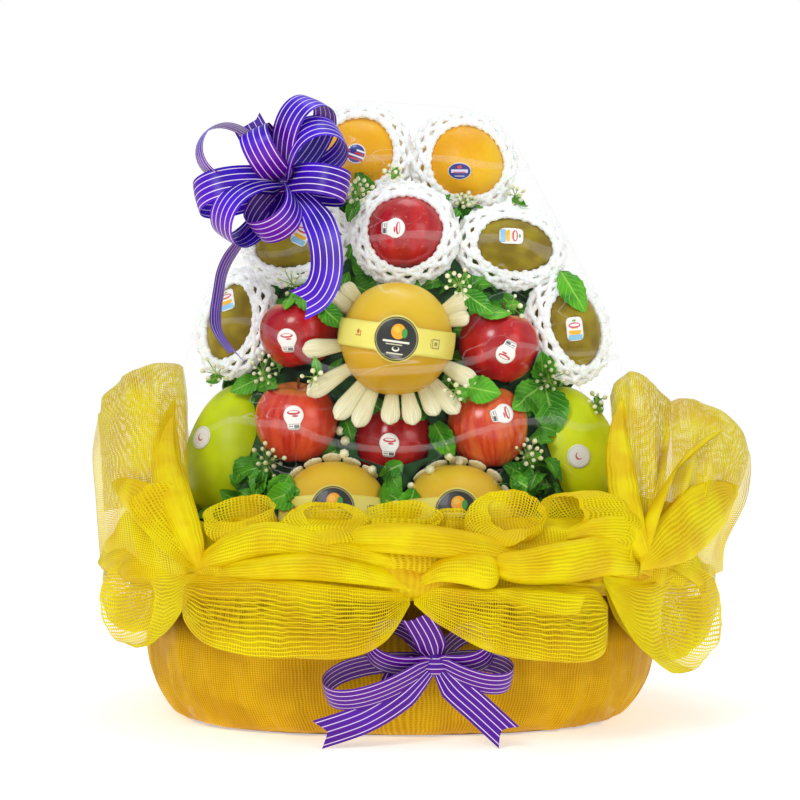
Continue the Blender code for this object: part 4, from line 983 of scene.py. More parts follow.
for kind, (outline, half_x, half_y, base, marks) in STICKERS.items():
    made, tree, shader = new_material("sticker_" + kind, {"Roughness": 0.3, "Coat Weight": 0.3})
    patches = cloudy(tree, object_space(tree), 0.01)
    paper = blend_colours(tree, patches, base, "FBFAF6")
    feed(tree, shader, {"Base Color": print_on(tree, "print", paper, marks),
                        "Normal": paper_grain(tree, 1200.0)})
    for fruit, its_kind, across, up, roll in STUCK:
        if its_kind != kind:
            continue
        hit, normal, _, _ = fruit_trees[fruit].ray_cast(Vector((across, -0.6, up)), Vector((0, 1, 0)))
        facing = (normal + Vector((0, -0.6, 0))).normalized()
        level = Matrix.Rotation(math.radians(roll), 3, facing) @ Vector((1, 0, 0))
        level = (level - facing * level.dot(facing)).normalized()
        upward = level.cross(facing) * -1
        if upward.z < 0 and abs(roll) < 60:
            upward = -upward
        work = bmesh.new()
        layer = work.loops.layers.uv.new("print")
        rings = []
        for i in range(9):
            ring = []
            for k in range(1 if i == 0 else 40):
                flat = edge_of(outline, half_x, half_y, 2 * math.pi * k / 40) * (i / 8)
                spot = hit + level * (flat.x / 1000) + upward * (flat.y / 1000) + facing * 0.02
                landed, skin_normal, _, _ = fruit_trees[fruit].ray_cast(spot, -facing)
                landed = landed or spot - facing * 0.02
                ring.append((work.verts.new(landed + (skin_normal or facing) * 0.00055), (flat.x, flat.y)))
            rings.append(ring)
        for low, high in zip(rings, rings[1:]):
            for k in range(40):
                j = (k + 1) % 40
                corners = (low[0], high[k], high[j]) if len(low) == 1 else (low[k], high[k], high[j], low[j])
                face = work.faces.new([c[0] for c in corners])
                for loop, corner in zip(face.loops, corners):
                    loop[layer].uv = corner[1]
        bmesh.ops.recalc_face_normals(work, faces=work.faces)
        if sum((f.normal.dot(facing) for f in work.faces)) < 0:
            bmesh.ops.reverse_faces(work, faces=work.faces)
        sticker = show("sticker_" + fruit, work, made)
        thicken(sticker, STICKER_THICK, 1.0)
        belong(sticker)

# ---------------------------------------------------------------- net over the tub
# The tub is wrapped in stiff yellow decorating net, an open plain weave of flat threads.  Over the
# tub it is pulled tight in upright folds.
NET_PITCH = 0.0021
HALF_PI = math.pi / 2

# plain weave seen through: threads both ways, in a sheet's own coordinates in metres
weave, start, end = new_effect("open_weave", {"UV": None, "Pitch": NET_PITCH, "Hole": 0.30}, ["Thread", "Height"])
wander = put(weave, "TexNoise", {"Vector": start.outputs["UV"], "Scale": 42.0, "Detail": 3.0})
wander = calc_vector(weave, "SUBTRACT", wander.outputs["Color"], (0.5, 0.5, 0.5))
wander = calc_vector(weave, "SCALE", wander, 0.0044)
spot = calc_vector(weave, "ADD", start.outputs["UV"], wander)
parts = put(weave, "SeparateXYZ", {0: spot})
waves = []
for axis, share in (("X", 1.15), ("Y", 0.95)):
    step = calc(weave, "DIVIDE", parts.outputs[axis], start.outputs["Pitch"])
    turn_by = calc(weave, "MULTIPLY", step, 2 * math.pi / share)
    waves.append(calc(weave, "COSINE", turn_by))
most = calc(weave, "MAXIMUM", waves[0], waves[1])
low = calc(weave, "ADD", start.outputs["Hole"], -0.26)
high = calc(weave, "ADD", start.outputs["Hole"], 0.26)
thread = remap(weave, most, low, high, soft=True)
total = calc(weave, "SUBTRACT", waves[0], waves[1])
raised = calc(weave, "MULTIPLY_ADD", total, 0.25, 0.5)
feed(weave, end, {"Thread": thread, "Height": raised})


def net_material(name, light, deep, hole, least, gap=None):
    """Yellow net with a faint painted glow: two shades, how open it is, its least cover in the holes, and the height
    above which painted shade darkens it.
    """
    # painted light: each net glows faintly in its pale shade, standing in for light that shines through the threads
    made, tree, shader = new_material(name, {
        "Roughness": 0.5, "Specular IOR Level": 0.12, "Emission Color": colour(light), "Emission Strength": 0.02})
    own = put(tree, "UVMap", uv_map="net")
    place = object_space(tree)
    woven = use_effect(tree, weave, {"UV": own, "Hole": hole})
    patches = cloudy(tree, place, 0.040, 0.34, 0.66)
    dense = put(tree, "Attribute", attribute_name="dense")
    skin = blend_colours(tree, patches, deep, light)
    # painted highlight: the raised threads of the weave are made brighter yellow
    lit = remap(tree, woven.outputs["Height"], 0.3, 0.9, 0.0, 0.22)
    skin = blend_colours(tree, lit, skin, "F0E010")
    # painted shade: above the given height the net turns towards dark brown, for the shadow under the collar
    if gap:
        high = remap(tree, part_of(tree, place, "Z"), gap, gap + 0.022, 0.0, 0.92)
        skin = blend_colours(tree, high, skin, "5E3606")
    low = calc(tree, "MULTIPLY_ADD", dense.outputs["Fac"], 0.8, least, use_clamp=True)
    cover = remap(tree, woven, 0.0, 1.0, low, 1.0)
    bump = put(tree, "Bump", {"Height": woven.outputs["Height"], "Strength": 0.25, "Distance": 0.0005})
    feed(tree, shader, {"Base Color": skin, "Alpha": cover, "Normal": bump})
    return made


# the skirt is darkened by painted shade above 7.8 cm, under the collar
net_skirt_gold = net_material("net_skirt_gold", "E6B006", "CE9403", 0.10, 0.62, 0.078)
net_open = net_material("net_open", "E4D204", "D8B602", 0.30, 0.06)
net_sheer = net_material("net_sheer", "E6D004", "D6AE04", 0.60, 0.00)
net_folded = net_material("net_folded", "E4D203", "D6B002", 0.10, 0.60)
net_dense = net_material("net_dense", "D8B603", "C49002", -0.10, 0.92)


def view_point(across, down, depth):
    """The point at a given depth (y) that the camera sees at a place in its 800 by 800 frame."""
    ahead = Vector((0, math.cos(CAMERA_RISE), -math.sin(CAMERA_RISE)))
    above = Vector((0, math.sin(CAMERA_RISE), math.cos(CAMERA_RISE)))
    aside = Vector((1, 0, 0)) * (across - FRAME_SIDE / 2) - above * (down - FRAME_SIDE / 2)
    ray = ahead + aside * (SENSOR_WIDTH / LENS / FRAME_SIDE)
    return camera.location + ray * ((depth - camera.location.y) / ray.y)


def oval(angle, half_x, half_y, power=2.5):
    """Point of the rounded oblong plan at an angle."""
    c, s = math.cos(angle), math.sin(angle)
    return (math.copysign(abs(c) ** (2 / power), c) * half_x, math.copysign(abs(s) ** (2 / power), s) * half_y)


def smooth_through(points, count):
    """Evenly numbered points on a smooth curve through a few."""
    points = [Vector(p) for p in points]
    line = []
    for n in range(count):
        at = n / (count - 1) * (len(points) - 1)
        i = min(int(at), len(points) - 2)
        t = at - i
        before, a, b, after = points[max(i - 1, 0)], points[i], points[i + 1], points[min(i + 2, len(points) - 1)]
        line.append(0.5 * (2 * a + (b - before) * t + (2 * before - 5 * a + 4 * b - after) * t ** 2
                           + (3 * a - before - 3 * b + after) * t ** 3))
    return line


def net_sheet(name, grid, finish, ring=False, node=None, dense=None):
    """A sheet of net through a grid of points, with its own coordinates in metres."""
    rows, columns = len(grid), len(grid[0])
    lengths = [sum((b - a).length for a, b in zip(row, row[1:] + ([row[0]] if ring else []))) for row in grid]
    across = sum(lengths) / rows
    steps = [0.0]
    for i in range(rows - 1):
        steps.append(steps[-1] + sum((grid[i + 1][j] - grid[i][j]).length for j in range(columns)) / columns)
    work = bmesh.new()
    layer = work.loops.layers.uv.new("net")
    thick = work.verts.layers.float.new("dense")
    verts = [[work.verts.new(p) for p in row] for row in grid]
    for i, row in enumerate(verts if dense else []):
        for j, vert in enumerate(row):
            vert[thick] = max(0.0, min(1.0, dense(i / (rows - 1), j / (columns - 1), vert.co)))
    turns = columns if ring else columns - 1
    for i in range(rows - 1):
        for j in range(turns):
            k = (j + 1) % columns
            face = work.faces.new((verts[i][j], verts[i][k], verts[i + 1][k], verts[i + 1][j]))
            spots = ((j, i), (j + 1, i), (j + 1, i + 1), (j, i + 1))
            for loop, (a, b) in zip(face.loops, spots):
                loop[layer].uv = (a / turns * across, steps[b])
    cut = sum(face.calc_area() for face in work.faces)
    made = show(name, work, finish)
    belong(made, node)
    return made


SKIRT_RINGS = [(0.0020, 0.198, 0.140), (0.010, 0.212, 0.151), (0.038, 0.228, 0.163), (0.080, 0.232, 0.167),
               (0.128, 0.224, 0.160), (0.138, 0.2215, 0.1580)]
SKIRT_COLUMNS = 480
grid = []
for z, a, b in smooth_through(SKIRT_RINGS, 31):
    row = []
    for j in range(SKIRT_COLUMNS):
        angle = 2 * math.pi * j / SKIRT_COLUMNS
        c, s = math.cos(angle), math.sin(angle)
        fold = noise.noise(Vector((c * 9, s * 9, z * 4.0))) * 0.0050
        fold += 0.0016 * math.sin(26 * angle + 40 * z + 3 * math.sin(5 * angle)) * min(1.0, z * 12)
        fold += noise.noise(Vector((c * 24 + z * 16, s * 24, 3.0 + z * 5.0))) * 0.0024
        x, y = oval(angle, a - 0.0010 + fold, b - 0.0010 + fold)
        row.append(Vector((x, y, z + 0.0005 * math.sin(angle * 9))))
    grid.append(row)
net_sheet("net_skirt_cloth", grid, net_skirt_gold, ring=True, node="net_skirt")

# ---------------------------------------------------------------- gathered collar
# More of the net is gathered over the tub's rim: a dense roll all the way round, with long soft
# tubes of net laid over it from one gather to the next, and open loops that stand up like eyes.
COLLAR_ROWS = [(0.2290, 0.1650, 0.1280), (0.2310, 0.1720, 0.1600), (0.2380, 0.1870, 0.1840), (0.2530, 0.2040, 0.1935),
               (0.2700, 0.2210, 0.1820), (0.2820, 0.2330, 0.1580), (0.2790, 0.2300, 0.1400), (0.2620, 0.2130, 0.1310)]


def net_roll(name, profile, inset, depth, seed, finish, node=None):
    """A closed roll round the rim, with soft folds that wander along it."""
    rows, columns = 49, 420
    grid = []
    for i, (a, b, z) in enumerate(smooth_through(profile, rows)):
        row = []
        for j in range(columns):
            angle = 2 * math.pi * j / columns
            c, s, t = math.cos(angle), math.sin(angle), i / (rows - 1)
            drift = 0.8 * math.sin(angle * 3 + seed) + 0.5 * math.sin(angle * 7 + 2 * seed)
            fold = noise.noise(Vector((c * 2.6 + seed, s * 2.6, t * 4.2 + drift))) * depth
            fold += noise.noise(Vector((c * 6.0, s * 6.0 + seed, t * 8.5 + drift * 1.6))) * depth * 0.55
            fold *= min(1.0, 0.2 + 2.4 * t) * min(1.0, 0.3 + 3.0 * (1 - t)) * (1 - 0.6 * abs(c) ** 3)
            inward = inset + 0.012 * abs(c) ** 6
            x, y = oval(angle, a - inward + fold, b - inset + fold)
            row.append(Vector((x, y, z - inset * 0.6 + fold * (0.8 if t < 0.55 else 0.0))))
        grid.append(row)
    return net_sheet(name, grid, finish, ring=True, node=node)


def net_tube(name, sections, finish, node=None, pleats=9,
             steps=61, sides=60, seed=0, rim=0.0):
    """A loose tube of net through sections: a middle, as a place or as seen, and two half widths as vectors in mm."""
    middles = smooth_through([m if isinstance(m, Vector) else view_point(*m) for m, _, _ in sections], steps)
    ones = smooth_through([Vector(a) / 1000 for _, a, _ in sections], steps)
    twos = smooth_through([Vector(b) / 1000 for _, _, b in sections], steps)
    widest = max(a.length + b.length for a, b in zip(ones, twos))
    grid, thick = [], []
    for i, (middle, one, two) in enumerate(zip(middles, ones, twos)):
        t = i / (steps - 1)
        pinch = max(0.0, 1.0 - (one.length + two.length) / widest)
        row = []
        for j in range(sides + 1):
            angle = 2 * math.pi * j / sides + HALF_PI
            c, s = math.cos(angle), math.sin(angle)
            swell = 1.0 + 0.13 * noise.noise(Vector((c * 1.5 + seed, s * 1.5, t * 2.6)))
            swell += 0.06 * noise.noise(Vector((c * 4.2, s * 4.2 + seed, t * 4.0)))
            swell += (0.012 + 0.11 * pinch) * math.sin(pleats * angle + 3 * math.sin(2.5 * t + seed))
            row.append(middle + one * (c * swell) + two * (s * swell))
        grid.append(row)
        thick.append(pinch)

    def dense(along, round_it, spot):
        up = abs(math.cos(2 * math.pi * round_it)) ** 4
        edge = 1.0 if rim and along < rim else 0.0
        patch = 0.5 * noise.noise(spot * 24 + Vector((seed, 0, 0)))
        return 0.80 * up + 0.8 * thick[round(along * (steps - 1))] ** 2 + patch + edge

    return net_sheet(name, grid, finish, node=node, dense=dense)


net_roll("net_collar_lining", COLLAR_ROWS, 0.0075, 0.0130, 4.0, net_dense, "net_collar")
net_roll("net_collar_over", COLLAR_ROWS[2:], 0.0005, 0.0150, 9.0, net_folded)

# soft tubes along the front and sides, from gather to gather, as (middle as seen and its depth, half width
# toward the front, half width up)
FOLDS = {
    "a": [((194, 566, -0.205), (0, 3, 0), (0, 0, 5)), ((226, 550, -0.214), (0, 12, 0), (2, 0, 13)),
          ((272, 541, -0.220), (0, 16, 0), (1, 0, 16)), ((326, 550, -0.224), (0, 13, 0), (-1, 0, 13)),
          ((384, 560, -0.222), (0, 10, 0), (0, 0, 9)), ((420, 566, -0.218), (0, 3, 0), (0, 0, 4))],
    "b": [((204, 574, -0.206), (0, 3, 0), (0, 0, 4)), ((250, 570, -0.226), (0, 10, 0), (1, 0, 9)),
          ((310, 566, -0.234), (0, 12, 0), (0, 0, 11)), ((366, 574, -0.232), (0, 10, 0), (-1, 0, 9)),
          ((412, 586, -0.224), (0, 3, 0), (0, 0, 4))],
    "c": [((330, 542, -0.216), (0, 3, 0), (0, 0, 4)), ((372, 538, -0.226), (0, 12, 0), (1, 0, 11)),
          ((430, 541, -0.231), (0, 14, 0), (0, 0, 13)), ((484, 549, -0.226), (0, 12, 0), (-2, 0, 12)),
          ((530, 560, -0.218), (0, 4, 0), (0, 0, 5))],
    "d": [((414, 584, -0.224), (0, 3, 0), (0, 0, 4)), ((440, 570, -0.232), (0, 9, 0), (0, 0, 9)),
          ((466, 568, -0.236), (0, 12, 0), (0, 0, 13)), ((486, 572, -0.236), (0, 12, 0), (0, 0, 14)),
          ((496, 573, -0.234), (0, 8, 0), (0, 0, 10)), ((500, 573, -0.232), (0, 1, 0), (0, 0, 2))],
    "e": [((470, 560, -0.220), (0, 3, 0), (0, 0, 4)), ((516, 566, -0.232), (0, 12, 0), (2, 0, 13)),
          ((566, 562, -0.226), (0, 15, 0), (3, 0, 18)), ((612, 556, -0.204), (5, 14, 0), (2, 0, 17)),
          ((650, 562, -0.178), (5, 9, 0), (0, 0, 12)), ((672, 574, -0.158), (2, 2, 0), (0, 0, 4))],
    "f": [((560, 538, -0.205), (0, 3, 0), (0, 0, 4)), ((596, 532, -0.204), (0, 12, 0), (-2, 0, 12)),
          ((634, 534, -0.190), (4, 13, 0), (-3, 0, 15)), ((668, 548, -0.166), (8, 12, 0), (-5, 0, 18)),
          ((694, 568, -0.136), (8, 8, 0), (-4, 0, 14)), ((704, 590, -0.118), (3, 3, 0), (0, 0, 4))],
    "g": [((146, 556, -0.150), (-3, 3, 0), (0, 0, 4)), ((166, 552, -0.176), (-8, 10, 0), (0, 0, 13)),
          ((186, 558, -0.196), (-5, 10, 0), (0, 0, 12)), ((204, 570, -0.208), (0, 3, 0), (0, 0, 4))],
}
for number, (key, sections) in enumerate(FOLDS.items()):
    net_tube("net_fold_" + key, sections, net_folded, seed=number * 2.3, pleats=7)

# open loops on the roll, from the mouth down to where each is held
EYES = {
    "a": [((242, 509, -0.190), (26, 0, 4), (2, 12, 9)), ((240, 516, -0.196), (31, 0, 3), (1, 16, 15)),
          ((242, 530, -0.196), (29, 0, 1), (0, 15, 12)), ((246, 546, -0.190), (16, 0, 0), (0, 6, 5))],
    "b": [((328, 516, -0.212), (20, 0, -1), (0, 10, 9)), ((326, 521, -0.218), (33, 0, 0), (0, 16, 15)),
          ((324, 530, -0.216), (34, 0, 1), (0, 15, 13)), ((322, 544, -0.208), (20, 0, 0), (0, 6, 5))],
    "c": [((402, 515, -0.206), (32, 0, 1), (0, 6, 11)), ((402, 520, -0.210), (33, 0, 0), (0, 9, 12)),
          ((400, 534, -0.206), (28, 0, 0), (0, 6, 5))],
    "d": [((514, 512, -0.206), (23, 0, -1), (0, 8, 15)), ((508, 514, -0.212), (30, 0, 0), (0, 13, 20)),
          ((504, 524, -0.212), (32, 0, 1), (0, 14, 18)), ((500, 544, -0.204), (18, 0, 0), (0, 6, 6))],
    "e": [((566, 512, -0.196), (14, -8, 0), (0, 6, 13)), ((588, 514, -0.196), (40, 0, -2), (0, 14, 19)),
          ((596, 526, -0.192), (40, 0, -3), (0, 14, 16)), ((604, 544, -0.184), (22, 0, -2), (0, 6, 6))],
    "f": [((452, 520, -0.208), (16, 0, 1), (0, 6, 9)), ((452, 524, -0.212), (18, 0, 0), (0, 8, 11)),
          ((452, 538, -0.206), (14, 0, 0), (0, 5, 5))],
    "ear": [((158, 503, -0.190), (-18, -6, 6), (4, 8, 15)), ((162, 508, -0.194), (-22, -8, 4), (4, 10, 18)),
            ((176, 530, -0.198), (-18, -8, 0), (6, 8, 14)), ((192, 552, -0.204), (-10, -6, 0), (4, 6, 10)),
            ((200, 566, -0.206), (-3, 0, 0), (0, 3, 4))],
}
for number, (key, sections) in enumerate(EYES.items()):
    net_tube("net_eye_" + key, sections, net_open, seed=20 + number * 1.7, pleats=5, steps=41, sides=80, rim=0.03)

# ---------------------------------------------------------------- hanging loops
# Wide loops of the same net hang below the collar: two at the front from the gather above the bow,
# one at each side, and one behind.  The tub shows through them.
HANGING = {
    "net_loop_front_left": [
        ((410, 598, -0.216), (0, 3, 0), (0, 0, 5)), ((386, 616, -0.228), (0, 8, 0), (0, 0, 20)),
        ((350, 622, -0.232), (0, 11, 0), (0, 0, 29)), ((300, 620, -0.232), (0, 12, 0), (0, 0, 33)),
        ((250, 616, -0.228), (0, 12, 0), (2, 0, 34)), ((212, 611, -0.216), (4, 11, 0), (4, 0, 29)),
        ((190, 600, -0.204), (3, 7, 0), (3, 0, 18)), ((183, 592, -0.196), (0, 2, 0), (0, 0, 6))],
    "net_loop_front_right": [
        ((414, 598, -0.216), (0, 3, 0), (0, 0, 5)), ((440, 605, -0.226), (0, 8, 0), (0, 0, 17)),
        ((482, 616, -0.231), (0, 11, 0), (0, 0, 25)), ((530, 622, -0.229), (0, 12, 0), (-1, 0, 31)),
        ((574, 625, -0.216), (-4, 11, 0), (-3, 0, 32)), ((598, 622, -0.203), (-4, 8, 0), (-3, 0, 26)),
        ((608, 616, -0.194), (0, 2, 0), (0, 0, 8))],
    "net_loop_side_left": [
        ((198, 576, -0.190), (-2, 2, 0), (0, 0, 4)), ((180, 588, -0.172), (-7, 10, 0), (0, 0, 16)),
        ((152, 596, -0.136), (-13, 11, 0), (0, 0, 26)), ((128, 596, -0.096), (-17, 8, 0), (0, 0, 30)),
        ((118, 590, -0.040), (-16, 2, 0), (0, 0, 28)), ((120, 580, 0.010), (-9, 0, 0), (0, 0, 14))],
    "net_loop_side_right": [
        ((604, 578, -0.190), (2, 2, 0), (0, 0, 4)), ((622, 600, -0.172), (8, 10, 0), (0, 0, 20)),
        ((656, 614, -0.136), (14, 11, 0), (0, 0, 36)), ((688, 608, -0.096), (20, 8, 0), (0, 0, 40)),
        ((696, 594, -0.040), (20, 2, 0), (0, 0, 32)), ((694, 580, 0.010), (10, 0, 0), (0, 0, 16))],
    "net_loop_back": [
        (Vector((0.124, 0.205, 0.099)), (0, 4, 0), (0, 0, 6)), (Vector((0.070, 0.214, 0.096)), (0, 15, 0),
        (0, 0, 29)),
        (Vector((0.010, 0.217, 0.100)), (0, 13, 0), (0, 0, 19)), (Vector((-0.060, 0.215, 0.096)), (0, 15, 0),
        (0, 0, 30)),
        (Vector((-0.124, 0.205, 0.099)), (0, 4, 0), (0, 0, 6))],
}
for number, (node, sections) in enumerate(HANGING.items()):
    net_tube(node.replace("loop", "hanging"), sections, net_sheer if "front" in node else net_open,
             node, pleats=7, steps=81, sides=80, seed=40 + number * 3.1)
# the near ends of the side loops open outwards in wide mouths
MOUTHS = {
    "left": [((127, 604, -0.146), (27, -27, 0), (0, 0, 36)), ((140, 606, -0.158), (24, -27, 0), (0, 0, 35)),
             ((162, 600, -0.178), (15, -20, 0), (0, 0, 27)), ((184, 586, -0.196), (6, -11, 0), (0, 0, 14)),
             ((200, 572, -0.203), (1, -2, 0), (0, 0, 4))],
    "right": [((692, 618, -0.140), (-30, -28, 0), (0, 0, 44)), ((676, 622, -0.156), (-26, -27, 0), (0, 0, 42)),
              ((650, 616, -0.176), (-16, -20, 0), (0, 0, 32)), ((624, 598, -0.194), (-7, -11, 0), (0, 0, 17)),
              ((604, 578, -0.203), (-1, -2, 0), (0, 0, 4))],
}
for number, (key, sections) in enumerate(MOUTHS.items()):
    net_tube("net_mouth_" + key, sections, net_open, pleats=5, seed=60 + number, rim=0.04)
net_tube("net_curl", [((582, 604, -0.236), (0, 5, 0), (3, 0, 8)), ((560, 604, -0.240), (0, 8, 0), (0, 0, 9)),
                      ((520, 598, -0.236), (0, 6, 0), (0, 0, 7)), ((470, 590, -0.228), (0, 2, 0), (0, 0, 3))],
         net_open, seed=3.0, pleats=5)

# ---------------------------------------------------------------- side wings
# At each side the net stands up in tall loops beside the melons, pulled in at the collar.  Each is
# one sheet that comes up in front, turns over at the crest and goes down behind.


def net_wing(name, rows, folds, depth, seed, finish, node=None):
    """A sheet over a coarse net of places as seen with their depths, with folds that run up it."""
    tall, wide = 91, 111
    lines = [smooth_through([view_point(*p) for p in row], wide) for row in rows]
    columns = [smooth_through([line[j] for line in lines], tall) for j in range(wide)]
    grid = []
    for i in range(tall):
        t = i / (tall - 1)
        row = []
        for j in range(wide):
            s = j / (wide - 1)
            lively = math.sin(math.pi * min(1.0, t * 1.1 + 0.05)) ** 0.5
            wave = math.sin(2 * math.pi * folds * s + 1.8 * math.sin(3 * t + seed)) * depth * lively
            wave += noise.noise(Vector((s * 7, t * 2.4, seed))) * depth * 1.3 * lively
            wave += noise.noise(Vector((s * 18, t * 4.0, seed + 5))) * depth * 0.4 * lively
            over = -math.cos(math.pi * min(1.0, max(0.0, (t - 0.35) / 0.4)))
            row.append(columns[j][i] + Vector((0.3 * wave, wave * over, 0)))
        grid.append(row)

    def dense(along, across, spot):
        patch = 0.9 * noise.noise(spot * 16 + Vector((seed, 0, 0))) + 0.3 * noise.noise(spot * 40)
        swath = math.exp(-((across - 0.30 - 0.5 * (along - 0.35)) / 0.16) ** 2)
        return 0.70 * max(0.0, 1 - 2.2 * along) + (0.40 * swath if along < 0.6 else 0.0) + 0.7 * patch

    return net_sheet(name, grid, finish, node=node, dense=dense)


net_wing("net_wing_left_cloth", [
    [(214, 578, -0.200), (196, 584, -0.196), (172, 586, -0.182), (146, 582, -0.158), (120, 576, -0.124),
     (103, 570, -0.085), (101, 566, -0.035)],
    [(206, 556, -0.208), (188, 556, -0.206), (164, 552, -0.192), (138, 546, -0.166), (114, 542, -0.130),
     (101, 540, -0.088), (99, 540, -0.034)],
    [(194, 512, -0.186), (178, 506, -0.188), (156, 500, -0.172), (132, 496, -0.148), (110, 492, -0.116),
     (97, 492, -0.078), (96, 494, -0.030)],
    [(188, 456, -0.120), (174, 450, -0.130), (154, 446, -0.130), (130, 446, -0.120), (108, 448, -0.098),
     (94, 452, -0.068), (93, 456, -0.028)],
    [(188, 402, -0.054), (176, 396, -0.066), (154, 394, -0.076), (132, 396, -0.074), (112, 404, -0.060),
     (100, 414, -0.042), (98, 420, -0.018)],
    [(184, 367, -0.010), (172, 363, -0.014), (150, 364, -0.018), (128, 374, -0.020), (112, 388, -0.016),
     (102, 404, -0.010), (99, 416, -0.004)],
    [(186, 400, 0.040), (174, 396, 0.046), (154, 398, 0.048), (132, 404, 0.046), (116, 414, 0.038), (104, 426, 0.026),
     (100, 434, 0.012)],
    [(194, 500, 0.082), (180, 502, 0.086), (162, 504, 0.086), (142, 506, 0.080), (124, 508, 0.068), (110, 510, 0.050),
     (104, 512, 0.030)],
], 4.0, 0.0050, 2.0, net_open, "net_wing_left")
net_wing("net_wing_right_inner", [
    [(598, 572, -0.205), (616, 576, -0.202), (634, 576, -0.192), (652, 572, -0.178), (664, 566, -0.162)],
    [(604, 540, -0.200), (618, 540, -0.200), (634, 540, -0.192), (650, 536, -0.178), (664, 530, -0.160)],
    [(612, 500, -0.150), (622, 492, -0.158), (636, 488, -0.156), (650, 486, -0.142), (664, 486, -0.124)],
    [(612, 440, -0.078), (620, 428, -0.092), (634, 422, -0.098), (652, 424, -0.090), (670, 434, -0.074)],
    [(609, 396, -0.012), (618, 380, -0.016), (633, 371, -0.020), (651, 382, -0.018), (669, 400, -0.012)],
    [(612, 440, 0.050), (622, 430, 0.056), (636, 426, 0.058), (652, 430, 0.056), (668, 440, 0.050)],
    [(612, 516, 0.082), (622, 518, 0.086), (636, 520, 0.088), (650, 520, 0.086), (664, 520, 0.080)],
], 3.0, 0.0045, 5.0, net_open, "net_wing_right")
net_wing("net_wing_right_outer", [
    [(638, 578, -0.188), (660, 586, -0.170), (684, 586, -0.140), (706, 580, -0.100), (722, 571, -0.046)],
    [(640, 542, -0.192), (664, 548, -0.176), (688, 550, -0.148), (708, 548, -0.108), (723, 543, -0.050)],
    [(648, 506, -0.164), (672, 500, -0.160), (700, 500, -0.138), (726, 502, -0.100), (744, 502, -0.048)],
    [(660, 455, -0.098), (682, 446, -0.106), (708, 446, -0.098), (734, 456, -0.076), (751, 474, -0.038)],
    [(668, 402, -0.014), (684, 398, -0.018), (706, 404, -0.020), (734, 420, -0.016), (750, 452, -0.008)],
    [(672, 440, 0.048), (688, 436, 0.052), (708, 440, 0.052), (732, 452, 0.044), (746, 470, 0.026)],
    [(672, 516, 0.080), (688, 518, 0.082), (704, 520, 0.078), (718, 522, 0.066), (726, 524, 0.044)],
], 4.0, 0.0050, 8.0, net_open)

# folds that run down the wings to the gathers
WING_FOLDS = {
    "left_tall": [((174, 400, -0.062), (-1, 0, 0), (0, -1, 0)), ((168, 424, -0.098), (-7, 0, 0), (0, -4, 1)),
                  ((166, 456, -0.138), (-12, 0, 0), (0, -7, 3)), ((174, 496, -0.180), (-15, 0, 0), (0, -9, 3)),
                  ((190, 540, -0.206), (-11, 0, 0), (0, -7, 2)), ((200, 568, -0.208), (-3, 0, 0), (0, -3, 0))],
    "left_low": [((112, 484, -0.104), (0, -1, 0), (0, 0, 2)), ((124, 488, -0.136), (0, -5, 0), (3, 0, 9)),
                 ((146, 506, -0.172), (0, -8, 0), (6, 0, 15)), ((172, 538, -0.198), (0, -7, 0), (4, 0, 11)),
                 ((200, 567, -0.208), (0, -3, 0), (0, 0, 4))],
    "right_tall": [((622, 398, -0.058), (1, 0, 0), (0, -1, 0)), ((618, 430, -0.104), (8, 0, 0), (0, -5, 2)),
                   ((621, 470, -0.150), (13, 0, 0), (0, -7, 2)), ((632, 530, -0.194), (12, 0, 0), (0, -7, 2)),
                   ((650, 570, -0.196), (3, 0, 0), (0, -3, 0))],
    "right_fan": [((738, 490, -0.082), (0, -1, 0), (0, 0, 4)), ((718, 502, -0.114), (0, -8, 0), (-4, 0, 20)),
                  ((690, 522, -0.154), (0, -10, 0), (-6, 0, 27)), ((660, 546, -0.186), (0, -8, 0), (-6, 0, 17)),
                  ((640, 566, -0.203), (0, -3, 0), (0, 0, 4))],
    "right_cross": [((722, 432, -0.062), (1, 0, 1), (0, -1, 0)), ((704, 442, -0.100), (5, 0, 7), (0, -5, 0)),
                    ((676, 468, -0.148), (7, 0, 10), (0, -6, 0)), ((654, 512, -0.186), (8, 0, 6), (0, -6, 0)),
                    ((644, 560, -0.200), (3, 0, 0), (0, -3, 0))],
}
for number, (key, sections) in enumerate(WING_FOLDS.items()):
    net_tube("net_wing_fold_" + key, sections, net_folded, seed=80 + number * 1.9, pleats=5)

# ---------------------------------------------------------------- sprays of buds and leaves
# Small florist's sprigs are tucked between the fruit: stalks that branch into clusters of pale
# buds in green cups, with a few serrated leaves at the foot.
bud_cream = mottled("bud_cream", {"Roughness": 0.5, "Subsurface Weight": 0.2, "Subsurface Scale": 0.002},
                    "DDE0A0", "F8F6DC", 0.004, 0.3, 0.7)
stalk_green = mottled("stalk_green", {"Roughness": 0.5}, "5C8F2A", "9CC04C", 0.006, 0.3, 0.7)
leaf_bright = leaf_material("leaf_bright", "2E8410", "5AB21C", "98D052")

